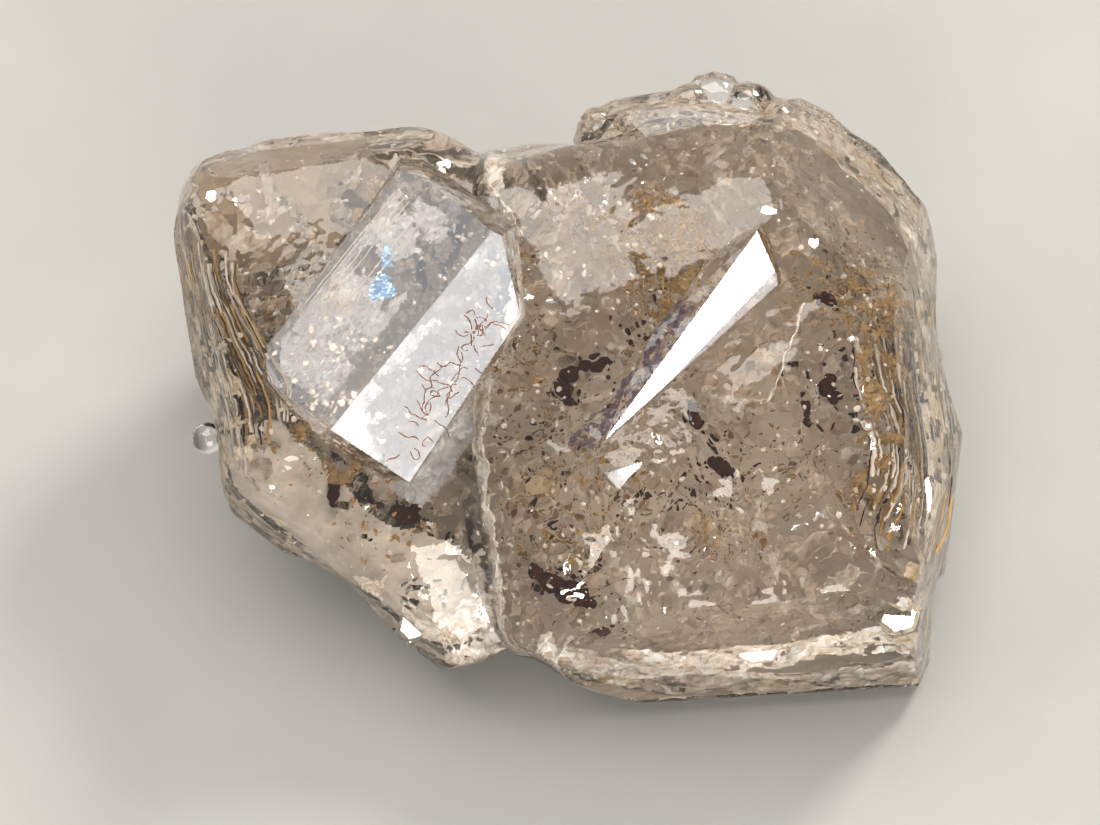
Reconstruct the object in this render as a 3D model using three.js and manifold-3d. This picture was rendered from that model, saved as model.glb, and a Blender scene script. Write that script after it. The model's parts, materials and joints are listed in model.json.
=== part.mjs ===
// Tar inclusion quartz: two clear quartz crystals grown side by side, with drops of tar
// sealed inside. Millimetres, +Z up, origin at the middle of the underside.
//
// The stone is drawn on a plane that leans back by LEAN, because its flat crystal windows
// face that way. On the drawing, u runs right, v runs up the slope and w stands out of it.
// The group at the end of the file leans the drawing into place.

import * as THREE from 'three';
import { ConvexGeometry } from 'three/addons/geometries/ConvexGeometry.js';
import { mergeVertices } from 'three/addons/utils/BufferGeometryUtils.js';
import Module from 'manifold-3d';

const wasm = await Module();
wasm.setup();
const { degToRad } = THREE.MathUtils;

// Driving dimensions
const LEAN = degToRad(28);
const REST_DEPTH = 3.9; // from the drawing's middle straight down to the underside
const MIDDLE = [0.052, -0.192]; // the middle of the underside, in X and Y from the drawing
const PARTING_LEVEL = 1.2; // the clear solid is parted here so that the tar can sit in it
const CLEARANCE = 0.3; // between the two halves, and between a drop and its pocket's wall
const AROUND = 60; // steps round a crystal
const LEVELS = 20; // steps from a crystal's underside to its top
const SWELL_HEIGHT = 0.06; // of each of the low waves that make the grown surface uneven
const BLOCK = 60; // side of a cutting block, larger than the stone

// Each crystal: its rim on the drawing, the point that its surfaces close over, the level
// of the rim, how far it stands above and below that, and how full its rounding is.
const LEFT_CRYSTAL = {
  rim: [
    [-9.02, 3.5], [-8.5, 1.01], [-8.02, -0.63], [-7.65, -2.5], [-6.9, -3.25],
    [-4.92, -4.66], [-3.46, -5.98], [-2.82, -6.32], [-1.41, -6.03], [-0.8, -5.07],
    [-1.12, -3.25], [-1.25, -0.97], [-0.8, 1.31], [-0.68, 3.47], [-1.25, 5.07],
    [-2.35, 5.42], [-3.44, 5.8], [-4.69, 5.84], [-7.22, 5.48], [-8.18, 5.14], [-8.78, 4.5],
  ],
  heart: [-4.5, 0.2],
  rimLevel: 0.5,
  above: 2.4,
  below: 5.2,
  fullness: 2.8,
};
const RIGHT_CRYSTAL = {
  rim: [
    [-2.21, 5.18], [-2.89, 3.36], [-3.17, 1.08], [-3.39, -0.97], [-3.08, -3.47],
    [-2.39, -5.25], [-1.53, -5.93], [-0.62, -6.21], [0.14, -6.71], [1.0, -7.0],
    [2.23, -7.3], [5.31, -7.4], [8.3, -6.95], [8.4, -6.03], [8.32, -5.02], [8.6, -4.16],
    [9.0, -3.18], [9.12, -1.81], [8.8, -0.22], [8.6, 1.26], [8.35, 2.74], [8.1, 3.97],
    [7.4, 5.1], [6.42, 5.9], [5.31, 6.5], [3.94, 6.3], [1.66, 5.82], [0.14, 5.66],
    [-1.07, 5.48],
  ],
  heart: [3.0, -0.3],
  rimLevel: 0,
  above: 4.0,
  below: 4.7,
  fullness: 2.8,
};

// Swells of the grown surface: radians per millimetre along u, v and w, and a phase.
const SWELLS = [
  [1.3, 0.7, 0.5, 0.2],
  [-0.6, 1.5, 0.9, 1.9],
  [0.9, -1.1, 1.4, 4.1],
  [2.3, 1.1, -0.8, 2.6],
];

// Flat faces that cut the rounded rims: a point on the face, the way it faces on the
// drawing in degrees from u, and how far it looks up (+) or down (-) out of the drawing.
const RIM_FACES = [
  { name: 'front', at: [5.1, -6.97, 0], facing: -85, looks: 32 },
  { name: 'front under', at: [4.6, -7.0, 0], facing: -88, looks: -28 },
  { name: 'right foot', at: [8.12, -6.0, 0], facing: -10, looks: 12 },
  { name: 'right', at: [8.98, -1.8, 0.2], facing: 4, looks: 26 },
  { name: 'upper right', at: [7.25, 4.85, 0.2], facing: 43, looks: 34 },
  { name: 'right shoulder', at: [8.3, 2.6, 0.1], facing: 10, looks: 20 },
  { name: 'right under', at: [8.7, -0.5, -0.6], facing: 4, looks: -30 },
  { name: 'lower left', at: [-5.11, -4.7, 0.5], facing: -128, looks: 26 },
  { name: 'lower left under', at: [-5.2, -4.5, 0.3], facing: -124, looks: -40 },
  { name: 'left', at: [-8.55, 1.1, 0.6], facing: 191, looks: 24 },
  { name: 'left under', at: [-8.35, 1.1, 0.2], facing: 187, looks: -34 },
  { name: 'top left', at: [-5.2, 5.7, 0.6], facing: 98, looks: 22 },
  { name: 'far under left', at: [-4.6, 5.5, -0.6], facing: 96, looks: -24 },
  { name: 'far under right', at: [3.2, 6.0, -0.8], facing: 84, looks: -30 },
];

// A quartz prism's faces turn 60 degrees about its long axis. Both crystals share that axis:
// AXIS on the drawing, sinking by AXIS_FALL towards its lower left end.
const AXIS = new THREE.Vector3(0.6335, 0.774, 0);
const ACROSS = new THREE.Vector3(0.774, -0.6335, 0);
const AXIS_FALL = 0.1;
const BRIGHT_FALL = Math.tan(degToRad(27));
const DIM_FALL = Math.tan(degToRad(33));
const STEEP_FALL = Math.tan(degToRad(48));
const ROOT_DEPTH = 1.8; // how far a window's prism is rooted in its crystal
const ROOT_FLARE = 0.45; // how far the root spreads

// Each window: a point on its ridge, that ridge's level, and the corners on its two sides.
const WINDOWS = [
  {
    ridge: [-1.66, 3.45],
    level: 5.0,
    brightFall: BRIGHT_FALL,
    dimFall: DIM_FALL,
    corners: [
      [-3.74, 4.84], [-3.28, 4.7], [-1.66, 3.45], [-1.46, 3.34], [-1.05, 1.58],
      [-2.21, 0.03], [-3.53, -2.13], [-5.26, -0.95], [-6.7, 0.17], [-6.72, 0.9],
    ],
  },
  {
    ridge: [-2.1, 0.2],
    level: 3.55,
    brightFall: STEEP_FALL,
    dimFall: DIM_FALL,
    corners: [[-2.21, 0.03], [-2.05, -1.08], [-2.69, -1.67], [-3.14, -2.43], [-3.53, -2.13]],
  },
  {
    ridge: [4.21, 3.45],
    level: 4.8,
    brightFall: BRIGHT_FALL,
    dimFall: STEEP_FALL,
    corners: [
      [4.21, 3.45], [4.44, 2.95], [4.65, 2.49], [4.67, 2.27], [1.44, -0.42], [0.8, -1.22],
      [1.9, 1.2], [3.2, 2.8],
    ],
  },
  {
    ridge: [0.84, -1.92],
    level: 4.3,
    brightFall: BRIGHT_FALL,
    dimFall: DIM_FALL,
    corners: [
      [0.84, -1.92], [1.14, -1.86], [1.66, -1.67], [1.64, -1.97], [1.5, -2.43], [1.09, -2.24],
    ],
  },
];

// The ledge on the far rim: the corners of a step of quartz, and lumps on it as
// [u, v, w, radius]. The bead is a tiny crystal on the left rim.
const LEDGE = [
  [0.14, 5.6, 0.2], [0.25, 6.03, 0.5], [1.0, 6.53, 0.5], [2.35, 6.75, 0.5], [4.46, 6.75, 0.4],
  [5.31, 6.55, 0.2], [1.2, 6.2, 1.5], [2.6, 6.35, 1.6], [4.6, 6.1, 1.5], [5.3, 5.4, 1.4],
  [0.4, 5.2, 1.3], [2.5, 5.0, 2.0], [2.5, 5.2, -1.6], [4.6, 5.2, -1.4],
];
const LEDGE_LUMPS = [
  [3.35, 6.62, 0.7, 0.62],
  [4.1, 6.45, 0.9, 0.55],
  [2.8, 6.5, 1.0, 0.45],
  [4.75, 6.1, 0.9, 0.5],
  [0.7, 6.05, 0.9, 0.36],
];
const LUMP_STRETCH = [1.15, 0.9, 1]; // the lumps lie along the rim
const BEAD = { at: [-8.27, -1.15, 0.5], radius: 0.37 };

// Drops of tar. Each bead is [u, v, w from the parting level, radius], and a drop's beads
// run together.
const TAR = {
  tar_crescent: [
    [0.68, 0.55, 0, 0.15], [0.46, 0.57, 0, 0.16], [0.2, 0.43, 0, 0.2], [0.1, 0.08, 0, 0.21],
    [0.18, -0.23, 0, 0.15],
  ],
  tar_lens: [[3.26, -1.58, 0, 0.15], [3.52, -1.63, 0, 0.2], [3.73, -1.66, 0, 0.14]],
  tar_bead_centre: [[3.03, -0.6, 0, 0.16], [3.06, -0.8, 0, 0.18]],
  tar_cluster_right: [[5.81, 0.2, 0, 0.14], [5.69, 0, 0, 0.18], [5.84, -0.2, 0, 0.16]],
  tar_pair_right: [[5.18, -0.38, 0, 0.13], [5.2, -0.58, 0, 0.11], [5.2, -0.77, 0, 0.14]],
  tar_bead_upper_right: [[5.61, 1.75, 0, 0.17], [5.48, 1.87, 0, 0.12]],
  tar_oval_left: [[-5.12, -2.16, 0, 0.15], [-5.14, -2.36, 0, 0.17], [-5.13, -2.54, 0, 0.13]],
  tar_knot_left: [[-3.53, -2.85, 0, 0.2], [-3.74, -2.77, 0, 0.14], [-3.42, -2.68, 0, 0.13]],
  tar_smudge: [
    [-0.42, -3.88, 0, 0.2], [-0.15, -4.1, 0, 0.24], [0.18, -4.28, 0, 0.28],
    [0.5, -4.5, 0, 0.24], [0.72, -4.65, 0, 0.16],
  ],
  tar_upper_left: [[-4.91, 4.2, 0, 0.15], [-4.76, 4.05, 0, 0.16], [-4.6, 3.96, 0, 0.12]],
};

// Solids: every shape is a three.js geometry first, and a Manifold for joining and cutting.
function solid(geometry) {
  const bare = geometry.clone();
  bare.deleteAttribute('normal');
  bare.deleteAttribute('uv');
  const merged = mergeVertices(bare, 1e-4);
  return new wasm.Manifold(
    new wasm.Mesh({
      numProp: 3,
      vertProperties: new Float32Array(merged.attributes.position.array),
      triVerts: new Uint32Array(merged.index.array),
    }),
  );
}

function geometryOf(manifold) {
  const { vertProperties, triVerts, numProp } = manifold.getMesh();
  if (numProp !== 3) throw new Error('a solid carries positions only');
  const geometry = new THREE.BufferGeometry();
  geometry.setAttribute('position', new THREE.BufferAttribute(vertProperties, 3));
  geometry.setIndex(new THREE.BufferAttribute(triVerts, 1));
  geometry.computeVertexNormals();
  return geometry;
}

const join = (solids) => solids.reduce((whole, piece) => whole.add(piece));

function swell(u, v, w) {
  let sum = 0;
  for (const [ku, kv, kw, phase] of SWELLS) sum += Math.sin(ku * u + kv * v + kw * w + phase);
  return SWELL_HEIGHT * sum;
}

// A crystal grown rounded: a sphere whose equator becomes the rim and whose rounding is
// fuller than a ball's, with low swells.
function crystal({ rim, heart, rimLevel, above, below, fullness }) {
  const outline = new THREE.CatmullRomCurve3(
    rim.map(([u, v]) => new THREE.Vector3(u, v, 0)),
    true,
    'centripetal',
  );
  const centre = new THREE.Vector3(...heart, rimLevel);
  const geometry = new THREE.SphereGeometry(1, AROUND, LEVELS);
  const positions = geometry.attributes.position;
  const turns = geometry.attributes.uv;
  const point = new THREE.Vector3();
  for (let i = 0; i < positions.count; i += 1) {
    const height = positions.getY(i);
    const reach = Math.sqrt(Math.max(0, 1 - height * height)) ** (2 / fullness);
    const rise = Math.sign(height) * Math.abs(height) ** (2 / fullness);
    outline.getPointAt((turns.getX(i) + 1) % 1, point);
    point.sub(centre).multiplyScalar(reach);
    point.z = rise * (rise > 0 ? above : below);
    point.setLength(point.length() + swell(point.x + heart[0], point.y + heart[1], point.z));
    point.add(centre);
    positions.setXYZ(i, point.x, point.y, point.z);
  }
  return solid(geometry);
}

// A block whose near face is the given plane, for cutting away all that lies beyond it.
function beyond(point, normal) {
  const block = new THREE.BoxGeometry(BLOCK, BLOCK, BLOCK);
  block.translate(0, 0, BLOCK / 2);
  block.applyQuaternion(
    new THREE.Quaternion().setFromUnitVectors(new THREE.Vector3(0, 0, 1), normal),
  );
  block.translate(point.x, point.y, point.z);
  return solid(block);
}

function rimFace({ at, facing, looks }) {
  const way = degToRad(facing);
  const up = degToRad(looks);
  const normal = new THREE.Vector3(
    Math.cos(up) * Math.cos(way),
    Math.cos(up) * Math.sin(way),
    Math.sin(up),
  );
  return beyond(new THREE.Vector3(...at), normal);
}

// A window is the top of a prism that stands out of its crystal: two faces that fall away
// from a ridge, over a root that spreads a little.
function crystalWindow({ ridge, level, brightFall, dimFall, corners }) {
  const start = new THREE.Vector3(...ridge, 0);
  const middle = new THREE.Vector3();
  corners.forEach(([u, v]) => middle.add(new THREE.Vector3(u, v, 0)));
  middle.divideScalar(corners.length);
  const points = [];
  for (const [u, v] of corners) {
    const top = new THREE.Vector3(u, v, 0);
    const along = top.clone().sub(start);
    const side = along.dot(ACROSS);
    const fall = side > 0 ? side * brightFall : -side * dimFall;
    top.z = level - fall + along.dot(AXIS) * AXIS_FALL;
    const out = top.clone().sub(middle).setZ(0).setLength(ROOT_FLARE);
    points.push(top, top.clone().add(out).setZ(top.z - ROOT_DEPTH));
  }
  return solid(new ConvexGeometry(points));
}

function lump([u, v, w, radius]) {
  const geometry = new THREE.IcosahedronGeometry(radius, 1);
  geometry.scale(...LUMP_STRETCH);
  geometry.translate(u, v, w);
  return solid(geometry);
}

// Tar
const BEAD_DETAIL = 1;
const POCKET_SPREAD = 1.26; // an icosahedron's corners stand this much past its flats

function tarDrop(beads) {
  const parts = beads.map(([u, v, w, radius]) => {
    const bead = new THREE.IcosahedronGeometry(radius, BEAD_DETAIL);
    bead.translate(u, v, PARTING_LEVEL + w);
    return solid(bead);
  });
  return join(parts);
}

function pocket(beads) {
  const parts = beads.map(([u, v, w, radius]) => {
    const room = new THREE.IcosahedronGeometry((radius + CLEARANCE) * POCKET_SPREAD, 0);
    room.translate(u, v, PARTING_LEVEL + w);
    return solid(room);
  });
  return join(parts);
}

// The clear quartz, whole and then parted
function quartz() {
  let body = crystal(LEFT_CRYSTAL).add(crystal(RIGHT_CRYSTAL));
  body = body.add(solid(new ConvexGeometry(LEDGE.map((p) => new THREE.Vector3(...p)))));
  for (const face of RIM_FACES) body = body.subtract(rimFace(face));
  body = body.add(join(LEDGE_LUMPS.map(lump))).add(join(WINDOWS.map(crystalWindow)));
  const bead = new THREE.IcosahedronGeometry(BEAD.radius, 1);
  bead.translate(...BEAD.at);
  body = body.add(solid(bead));
  const down = new THREE.Vector3(0, -Math.sin(LEAN), -Math.cos(LEAN));
  return body.subtract(beyond(down.clone().multiplyScalar(REST_DEPTH), down));
}

const hollowed = quartz().subtract(join(Object.values(TAR).map(pocket)));

// What lies on one side of the parting, which stops half the clearance short of it
function sideOfParting(way) {
  const level = PARTING_LEVEL + (way * CLEARANCE) / 2;
  return beyond(new THREE.Vector3(0, 0, level), new THREE.Vector3(0, 0, way));
}

const clear = { color: 0xcdbfb0, roughness: 0.04, metalness: 0, transparent: true, opacity: 0.5 };
const tarry = { color: 0x24140d, roughness: 0.25, metalness: 0 };

function piece(name, manifold, finish) {
  const mesh = new THREE.Mesh(geometryOf(manifold), new THREE.MeshStandardMaterial(finish));
  mesh.name = name;
  return mesh;
}

const drawing = new THREE.Group();
drawing.rotation.x = LEAN;
drawing.position.set(-MIDDLE[0], -MIDDLE[1], REST_DEPTH);
drawing.add(piece('quartz_lower', hollowed.intersect(sideOfParting(-1)), clear));
drawing.add(piece('quartz_upper', hollowed.intersect(sideOfParting(1)), clear));
for (const [name, beads] of Object.entries(TAR)) drawing.add(piece(name, tarDrop(beads), tarry));

const stone = new THREE.Group();
stone.add(drawing);

export default stone;
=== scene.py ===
# %% [markdown]
# # Tar inclusion quartz
# Two clear quartz crystals grew side by side, rounded, and sealed drops of tar inside. This
# lesson dresses a imported solid model of the stone: it builds one fine clear body for the
# crystals, fills it with the things that a real stone shows inside, and lights it.

# %% The frame: the solid model and its bodies
import json
import math

import bmesh
import bpy
import numpy as np
from mathutils import Matrix, Vector, noise

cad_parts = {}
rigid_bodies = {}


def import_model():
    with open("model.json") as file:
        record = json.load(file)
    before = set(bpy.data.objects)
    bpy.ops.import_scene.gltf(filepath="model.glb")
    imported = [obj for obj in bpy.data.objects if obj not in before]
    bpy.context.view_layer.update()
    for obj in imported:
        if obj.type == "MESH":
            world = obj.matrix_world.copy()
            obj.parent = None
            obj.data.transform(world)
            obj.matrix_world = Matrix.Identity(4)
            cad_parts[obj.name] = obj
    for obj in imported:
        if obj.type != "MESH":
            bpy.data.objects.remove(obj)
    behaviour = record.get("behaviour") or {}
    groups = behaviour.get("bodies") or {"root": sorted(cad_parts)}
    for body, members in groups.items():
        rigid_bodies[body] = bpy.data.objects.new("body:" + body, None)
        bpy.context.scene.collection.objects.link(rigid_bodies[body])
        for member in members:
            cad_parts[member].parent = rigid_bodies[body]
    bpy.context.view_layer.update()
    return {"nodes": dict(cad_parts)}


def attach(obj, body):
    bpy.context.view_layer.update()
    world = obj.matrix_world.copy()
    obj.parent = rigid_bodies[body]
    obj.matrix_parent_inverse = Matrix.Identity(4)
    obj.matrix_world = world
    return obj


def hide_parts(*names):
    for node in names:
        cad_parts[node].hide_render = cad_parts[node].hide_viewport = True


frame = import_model()

# %% [markdown]
# ## The drawing plane
# The stone's flat crystal windows face the same way as the reader, so the stone is drawn on
# a plane that leans back by 28 degrees. On the drawing u runs right, v runs up the slope and
# w stands out of it, all in millimetres. One function leans a drawn point into place.

# %% Places on the drawing
MM = 0.001
LEAN = math.radians(28)
REST_DEPTH = 3.9
MIDDLE = (0.052, -0.192)

LEANING = Matrix.Translation((-MIDDLE[0] * MM, -MIDDLE[1] * MM, REST_DEPTH * MM))
LEANING = LEANING @ Matrix.Rotation(LEAN, 4, "X") @ Matrix.Scale(MM, 4)
TURN = Matrix.Rotation(LEAN, 3, "X")


def in_place(u, v, w):
    return LEANING @ Vector((u, v, w))


print("the drawing's middle lies at, mm:", [round(1000 * x, 2) for x in in_place(0, 0, 0)])

# %% [markdown]
# ## The rounded crystals
# Quartz that grew against other minerals, or was partly dissolved again, has rounded rims.
# Each crystal is a ball whose equator is pulled out to the crystal's rim, and whose rounding
# is fuller than a ball's. Low swells and a fine relief make it uneven, the underside most.

# %% Rims and sizes of the two crystals
LEFT_CRYSTAL = dict(
    rim=[
        (-9.02, 3.5), (-8.5, 1.01), (-8.02, -0.63), (-7.65, -2.5), (-6.9, -3.25),
        (-4.92, -4.66), (-3.46, -5.98), (-2.82, -6.32), (-1.41, -6.03), (-0.8, -5.07),
        (-1.12, -3.25), (-1.25, -0.97), (-0.8, 1.31), (-0.68, 3.47), (-1.25, 5.07),
        (-2.35, 5.42), (-3.44, 5.8), (-4.69, 5.84), (-7.22, 5.48), (-8.18, 5.14), (-8.78, 4.5),
    ],
    heart=(-4.5, 0.2), rim_level=0.5, above=2.4, below=5.2, fullness=2.8,
)
RIGHT_CRYSTAL = dict(
    rim=[
        (-2.21, 5.18), (-2.89, 3.36), (-3.17, 1.08), (-3.39, -0.97), (-3.08, -3.47),
        (-2.39, -5.25), (-1.53, -5.93), (-0.62, -6.21), (0.14, -6.71), (1.0, -7.0),
        (2.23, -7.3), (5.31, -7.4), (8.3, -6.95), (8.4, -6.03), (8.32, -5.02), (8.6, -4.16),
        (9.0, -3.18), (9.12, -1.81), (8.8, -0.22), (8.6, 1.26), (8.35, 2.74), (8.1, 3.97),
        (7.4, 5.1), (6.42, 5.9), (5.31, 6.5), (3.94, 6.3), (1.66, 5.82), (0.14, 5.66),
        (-1.07, 5.48),
    ],
    heart=(3.0, -0.3), rim_level=0.0, above=4.0, below=4.7, fullness=2.8,
)
AROUND = 260
LEVELS = 110
SWELL_HEIGHT = 0.06
SWELLS = np.array([
    (1.3, 0.7, 0.5, 0.2),
    (-0.6, 1.5, 0.9, 1.9),
    (0.9, -1.1, 1.4, 4.1),
    (2.3, 1.1, -0.8, 2.6),
])
print("corners of the rims:", len(LEFT_CRYSTAL["rim"]), len(RIGHT_CRYSTAL["rim"]))

# %% A smooth closed curve, and low swells


def closed_curve(corners, steps):
    """Points evenly spaced along a closed centripetal Catmull-Rom curve through corners."""
    p = np.array(corners, float)
    before, here, after, beyond = (np.roll(p, s, axis=0) for s in (1, 0, -1, -2))
    gaps = [np.linalg.norm(b - a, axis=1) ** 0.5 for a, b in
            ((before, here), (here, after), (after, beyond))]
    g0, g1, g2 = (g[:, None] for g in gaps)
    start = ((here - before) / g0 - (after - before) / (g0 + g1) + (after - here) / g1) * g1
    end = ((after - here) / g1 - (beyond - here) / (g1 + g2) + (beyond - after) / g2) * g1
    t = np.linspace(0, 1, 40, endpoint=False)[None, :, None]
    a, b, m, n = here[:, None], after[:, None], start[:, None], end[:, None]
    fine = ((2 * t**3 - 3 * t**2 + 1) * a + (t**3 - 2 * t**2 + t) * m
            + (3 * t**2 - 2 * t**3) * b + (t**3 - t**2) * n).reshape(-1, 2)
    closed = np.vstack([fine, fine[:1]])
    run = np.concatenate([[0], np.cumsum(np.linalg.norm(np.diff(closed, axis=0), axis=1))])
    want = np.linspace(0, run[-1], steps, endpoint=False)
    return np.stack([np.interp(want, run, closed[:, k]) for k in (0, 1)], axis=1)


def swell(points):
    return SWELL_HEIGHT * np.sin(points @ SWELLS[:, :3].T + SWELLS[:, 3]).sum(axis=1)


print("points on the right rim:", len(closed_curve(RIGHT_CRYSTAL["rim"], AROUND)))

# %% A rounded crystal as a mesh
RELIEF = ((0.8, 0.16), (1.9, 0.08), (4.2, 0.03))  # waves per mm and height in mm
FREE_ROUGH, UNDER_ROUGH = 0.25, 1.0


def relief(points):
    """Fine uneven growth: little on the face that was free, much on the underside."""
    heights = np.empty(len(points))
    for i, (u, v, w) in enumerate(points):
        under = min(1.0, max(0.0, 0.5 - w / 2.5))
        rough = FREE_ROUGH + (UNDER_ROUGH - FREE_ROUGH) * under
        heights[i] = rough * sum(
            height * noise.noise(Vector((u, v, w)) * waves) for waves, height in RELIEF
        )
    return heights


print("relief waves per mm:", [waves for waves, height in RELIEF])

# %% [markdown]
# ## From a rim to a closed body
# The rim is repeated in rings from the top pole to the bottom pole. A superellipse gives the
# rings' widths and heights, which keeps the middle flat and turns the edge over in a short
# round. Rings are joined by quads and the poles are closed by triangles.

# %% Rings from pole to pole
HALF_WIDTH, HALF_HEIGHT = 5.5, 4  # of a typical crystal, in mm


def even_rows(fullness):
    """Angles from pole to pole, spaced so that the rings lie evenly along the profile."""
    fine = np.linspace(0, math.pi, 2001)
    across = HALF_WIDTH * np.sin(fine) ** (2 / fullness)
    rise = HALF_HEIGHT * np.sign(np.cos(fine)) * np.abs(np.cos(fine)) ** (2 / fullness)
    run = np.concatenate([[0], np.cumsum(np.hypot(np.diff(across), np.diff(rise)))])
    return np.interp(np.linspace(0, run[-1], LEVELS + 1), run, fine)


def crystal_mesh(name, rim, heart, rim_level, above, below, fullness):
    outline = closed_curve(rim, AROUND) - np.array(heart)
    rows = even_rows(fullness)
    reach = np.sin(rows) ** (2 / fullness)
    rise = np.sign(np.cos(rows)) * np.abs(np.cos(rows)) ** (2 / fullness)
    rise = np.where(rise > 0, rise * above, rise * below)
    rings = [
        np.column_stack([outline * reach[k], np.full(AROUND, rise[k])])
        for k in range(1, LEVELS)
    ]
    points = np.vstack([[[0, 0, above]], *rings, [[0, 0, -below]]])
    centre = np.array([*heart, rim_level])
    length = np.linalg.norm(points, axis=1)
    swollen = swell(points + np.array([*heart, 0])) + relief(points + centre)
    points = points * ((length + swollen) / length)[:, None] + centre
    last = len(points) - 1
    faces = [(0, 1 + i, 1 + (i + 1) % AROUND) for i in range(AROUND)]
    for k in range(LEVELS - 2):
        a = 1 + k * AROUND
        b = a + AROUND
        faces += [
            (a + i, b + i, b + (i + 1) % AROUND, a + (i + 1) % AROUND) for i in range(AROUND)
        ]
    a = last - AROUND
    faces += [(last, a + (i + 1) % AROUND, a + i) for i in range(AROUND)]
    mesh = bpy.data.meshes.new(name)
    mesh.from_pydata([tuple(p) for p in points], [], faces)
    return mesh


def add_object(name, mesh):
    thing = bpy.data.objects.new(name, mesh)
    bpy.context.scene.collection.objects.link(thing)
    return thing


def mesh_from(bm, name="carrier"):
    """The mesh of a bmesh, which is let go of."""
    mesh = bpy.data.meshes.new(name)
    bm.to_mesh(mesh)
    bm.free()
    return mesh


def apply_modifiers(thing):
    """Gives an object the mesh that its modifiers make, and takes the modifiers off."""
    depsgraph = bpy.context.evaluated_depsgraph_get()
    mesh = bpy.data.meshes.new_from_object(thing.evaluated_get(depsgraph))
    thing.modifiers.clear()
    thing.data = mesh
    return mesh


body = add_object("quartz_clear", crystal_mesh("left", **LEFT_CRYSTAL))
right = add_object("right", crystal_mesh("right", **RIGHT_CRYSTAL))
print("faces in each rounded crystal:", len(body.data.polygons))

# %% [markdown]
# ## Joining and cutting
# A Boolean modifier joins or cuts closed meshes. The manifold solver is quick and leaves a
# closed mesh, so each cut is applied at once and the helper object is thrown away.

# %% One boolean step


def take(body, tool, operation):
    step = body.modifiers.new("step", "BOOLEAN")
    step.operation = operation
    step.object = tool
    step.solver = "MANIFOLD"
    apply_modifiers(body)
    bpy.data.objects.remove(tool)


take(body, right, "UNION")
print("faces after joining:", len(body.data.polygons))

# %% [markdown]
# ## Flat faces on the rims
# Here and there the rounding meets flat growth faces. Each is one plane: a point on it, the
# way it faces on the drawing, and how far it looks up or down out of the drawing. A big
# block laid against the plane cuts away what lies beyond it.

# %% Rim faces and the underside
BLOCK = 60
RIM_FACES = (  # u, v, w of a point, then degrees round from u and degrees up from the drawing
    (5.1, -6.97, 0, -85, 32),
    (4.6, -7.0, 0, -88, -28),
    (8.12, -6.0, 0, -10, 12),
    (8.98, -1.8, 0.2, 4, 26),
    (7.25, 4.85, 0.2, 43, 34),
    (8.3, 2.6, 0.1, 10, 20),
    (8.7, -0.5, -0.6, 4, -30),
    (-5.11, -4.7, 0.5, -128, 26),
    (-5.2, -4.5, 0.3, -124, -40),
    (-8.55, 1.1, 0.6, 191, 24),
    (-8.35, 1.1, 0.2, 187, -34),
    (-5.2, 5.7, 0.6, 98, 22),
    (-4.6, 5.5, -0.6, 96, -24),
    (3.2, 6.0, -0.8, 84, -30),
)


print("flat rim faces:", len(RIM_FACES))

# %% Cutting blocks and convex hulls


def block_beyond(point, normal):
    bm = bmesh.new()
    bmesh.ops.create_cube(bm, size=BLOCK)
    bmesh.ops.translate(bm, vec=(0, 0, BLOCK / 2), verts=bm.verts)
    turn = Vector((0, 0, 1)).rotation_difference(normal).to_matrix().to_4x4()
    bmesh.ops.transform(bm, matrix=Matrix.Translation(point) @ turn, verts=bm.verts)
    return add_object("block", mesh_from(bm))


def facing(round_degrees, up_degrees):
    way, up = math.radians(round_degrees), math.radians(up_degrees)
    return Vector((math.cos(up) * math.cos(way), math.cos(up) * math.sin(way), math.sin(up)))


def hull(name, corners):
    bm = bmesh.new()
    for corner in corners:
        bm.verts.new(corner)
    made = bmesh.ops.convex_hull(bm, input=bm.verts)
    spare = [g for g in made["geom_interior"] if isinstance(g, bmesh.types.BMVert)]
    bmesh.ops.delete(bm, geom=spare, context="VERTS")
    bmesh.ops.recalc_face_normals(bm, faces=bm.faces)
    return add_object(name, mesh_from(bm))

# %% The ledge joined on, the rim faces cut
LEDGE = [
    (0.14, 5.6, 0.2), (0.25, 6.03, 0.5), (1.0, 6.53, 0.5), (2.35, 6.75, 0.5),
    (4.46, 6.75, 0.4), (5.31, 6.55, 0.2), (1.2, 6.2, 1.5), (2.6, 6.35, 1.6), (4.6, 6.1, 1.5),
    (5.3, 5.4, 1.4), (0.4, 5.2, 1.3), (2.5, 5.0, 2.0), (2.5, 5.2, -1.6), (4.6, 5.2, -1.4),
]
take(body, hull("ledge", LEDGE), "UNION")
for u, v, w, round_degrees, up_degrees in RIM_FACES:
    take(body, block_beyond((u, v, w), facing(round_degrees, up_degrees)), "DIFFERENCE")
print("faces after cutting the rim:", len(body.data.polygons))

# %% [markdown]
# ## Crystal windows
# Where quartz kept its own faces, two flat prism faces meet at a ridge and look like a
# window cut into the rounded stone. Both crystals share the direction of their long axis, so
# all windows do. Each is the convex hull of its corners and of a root that spreads below.

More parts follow.
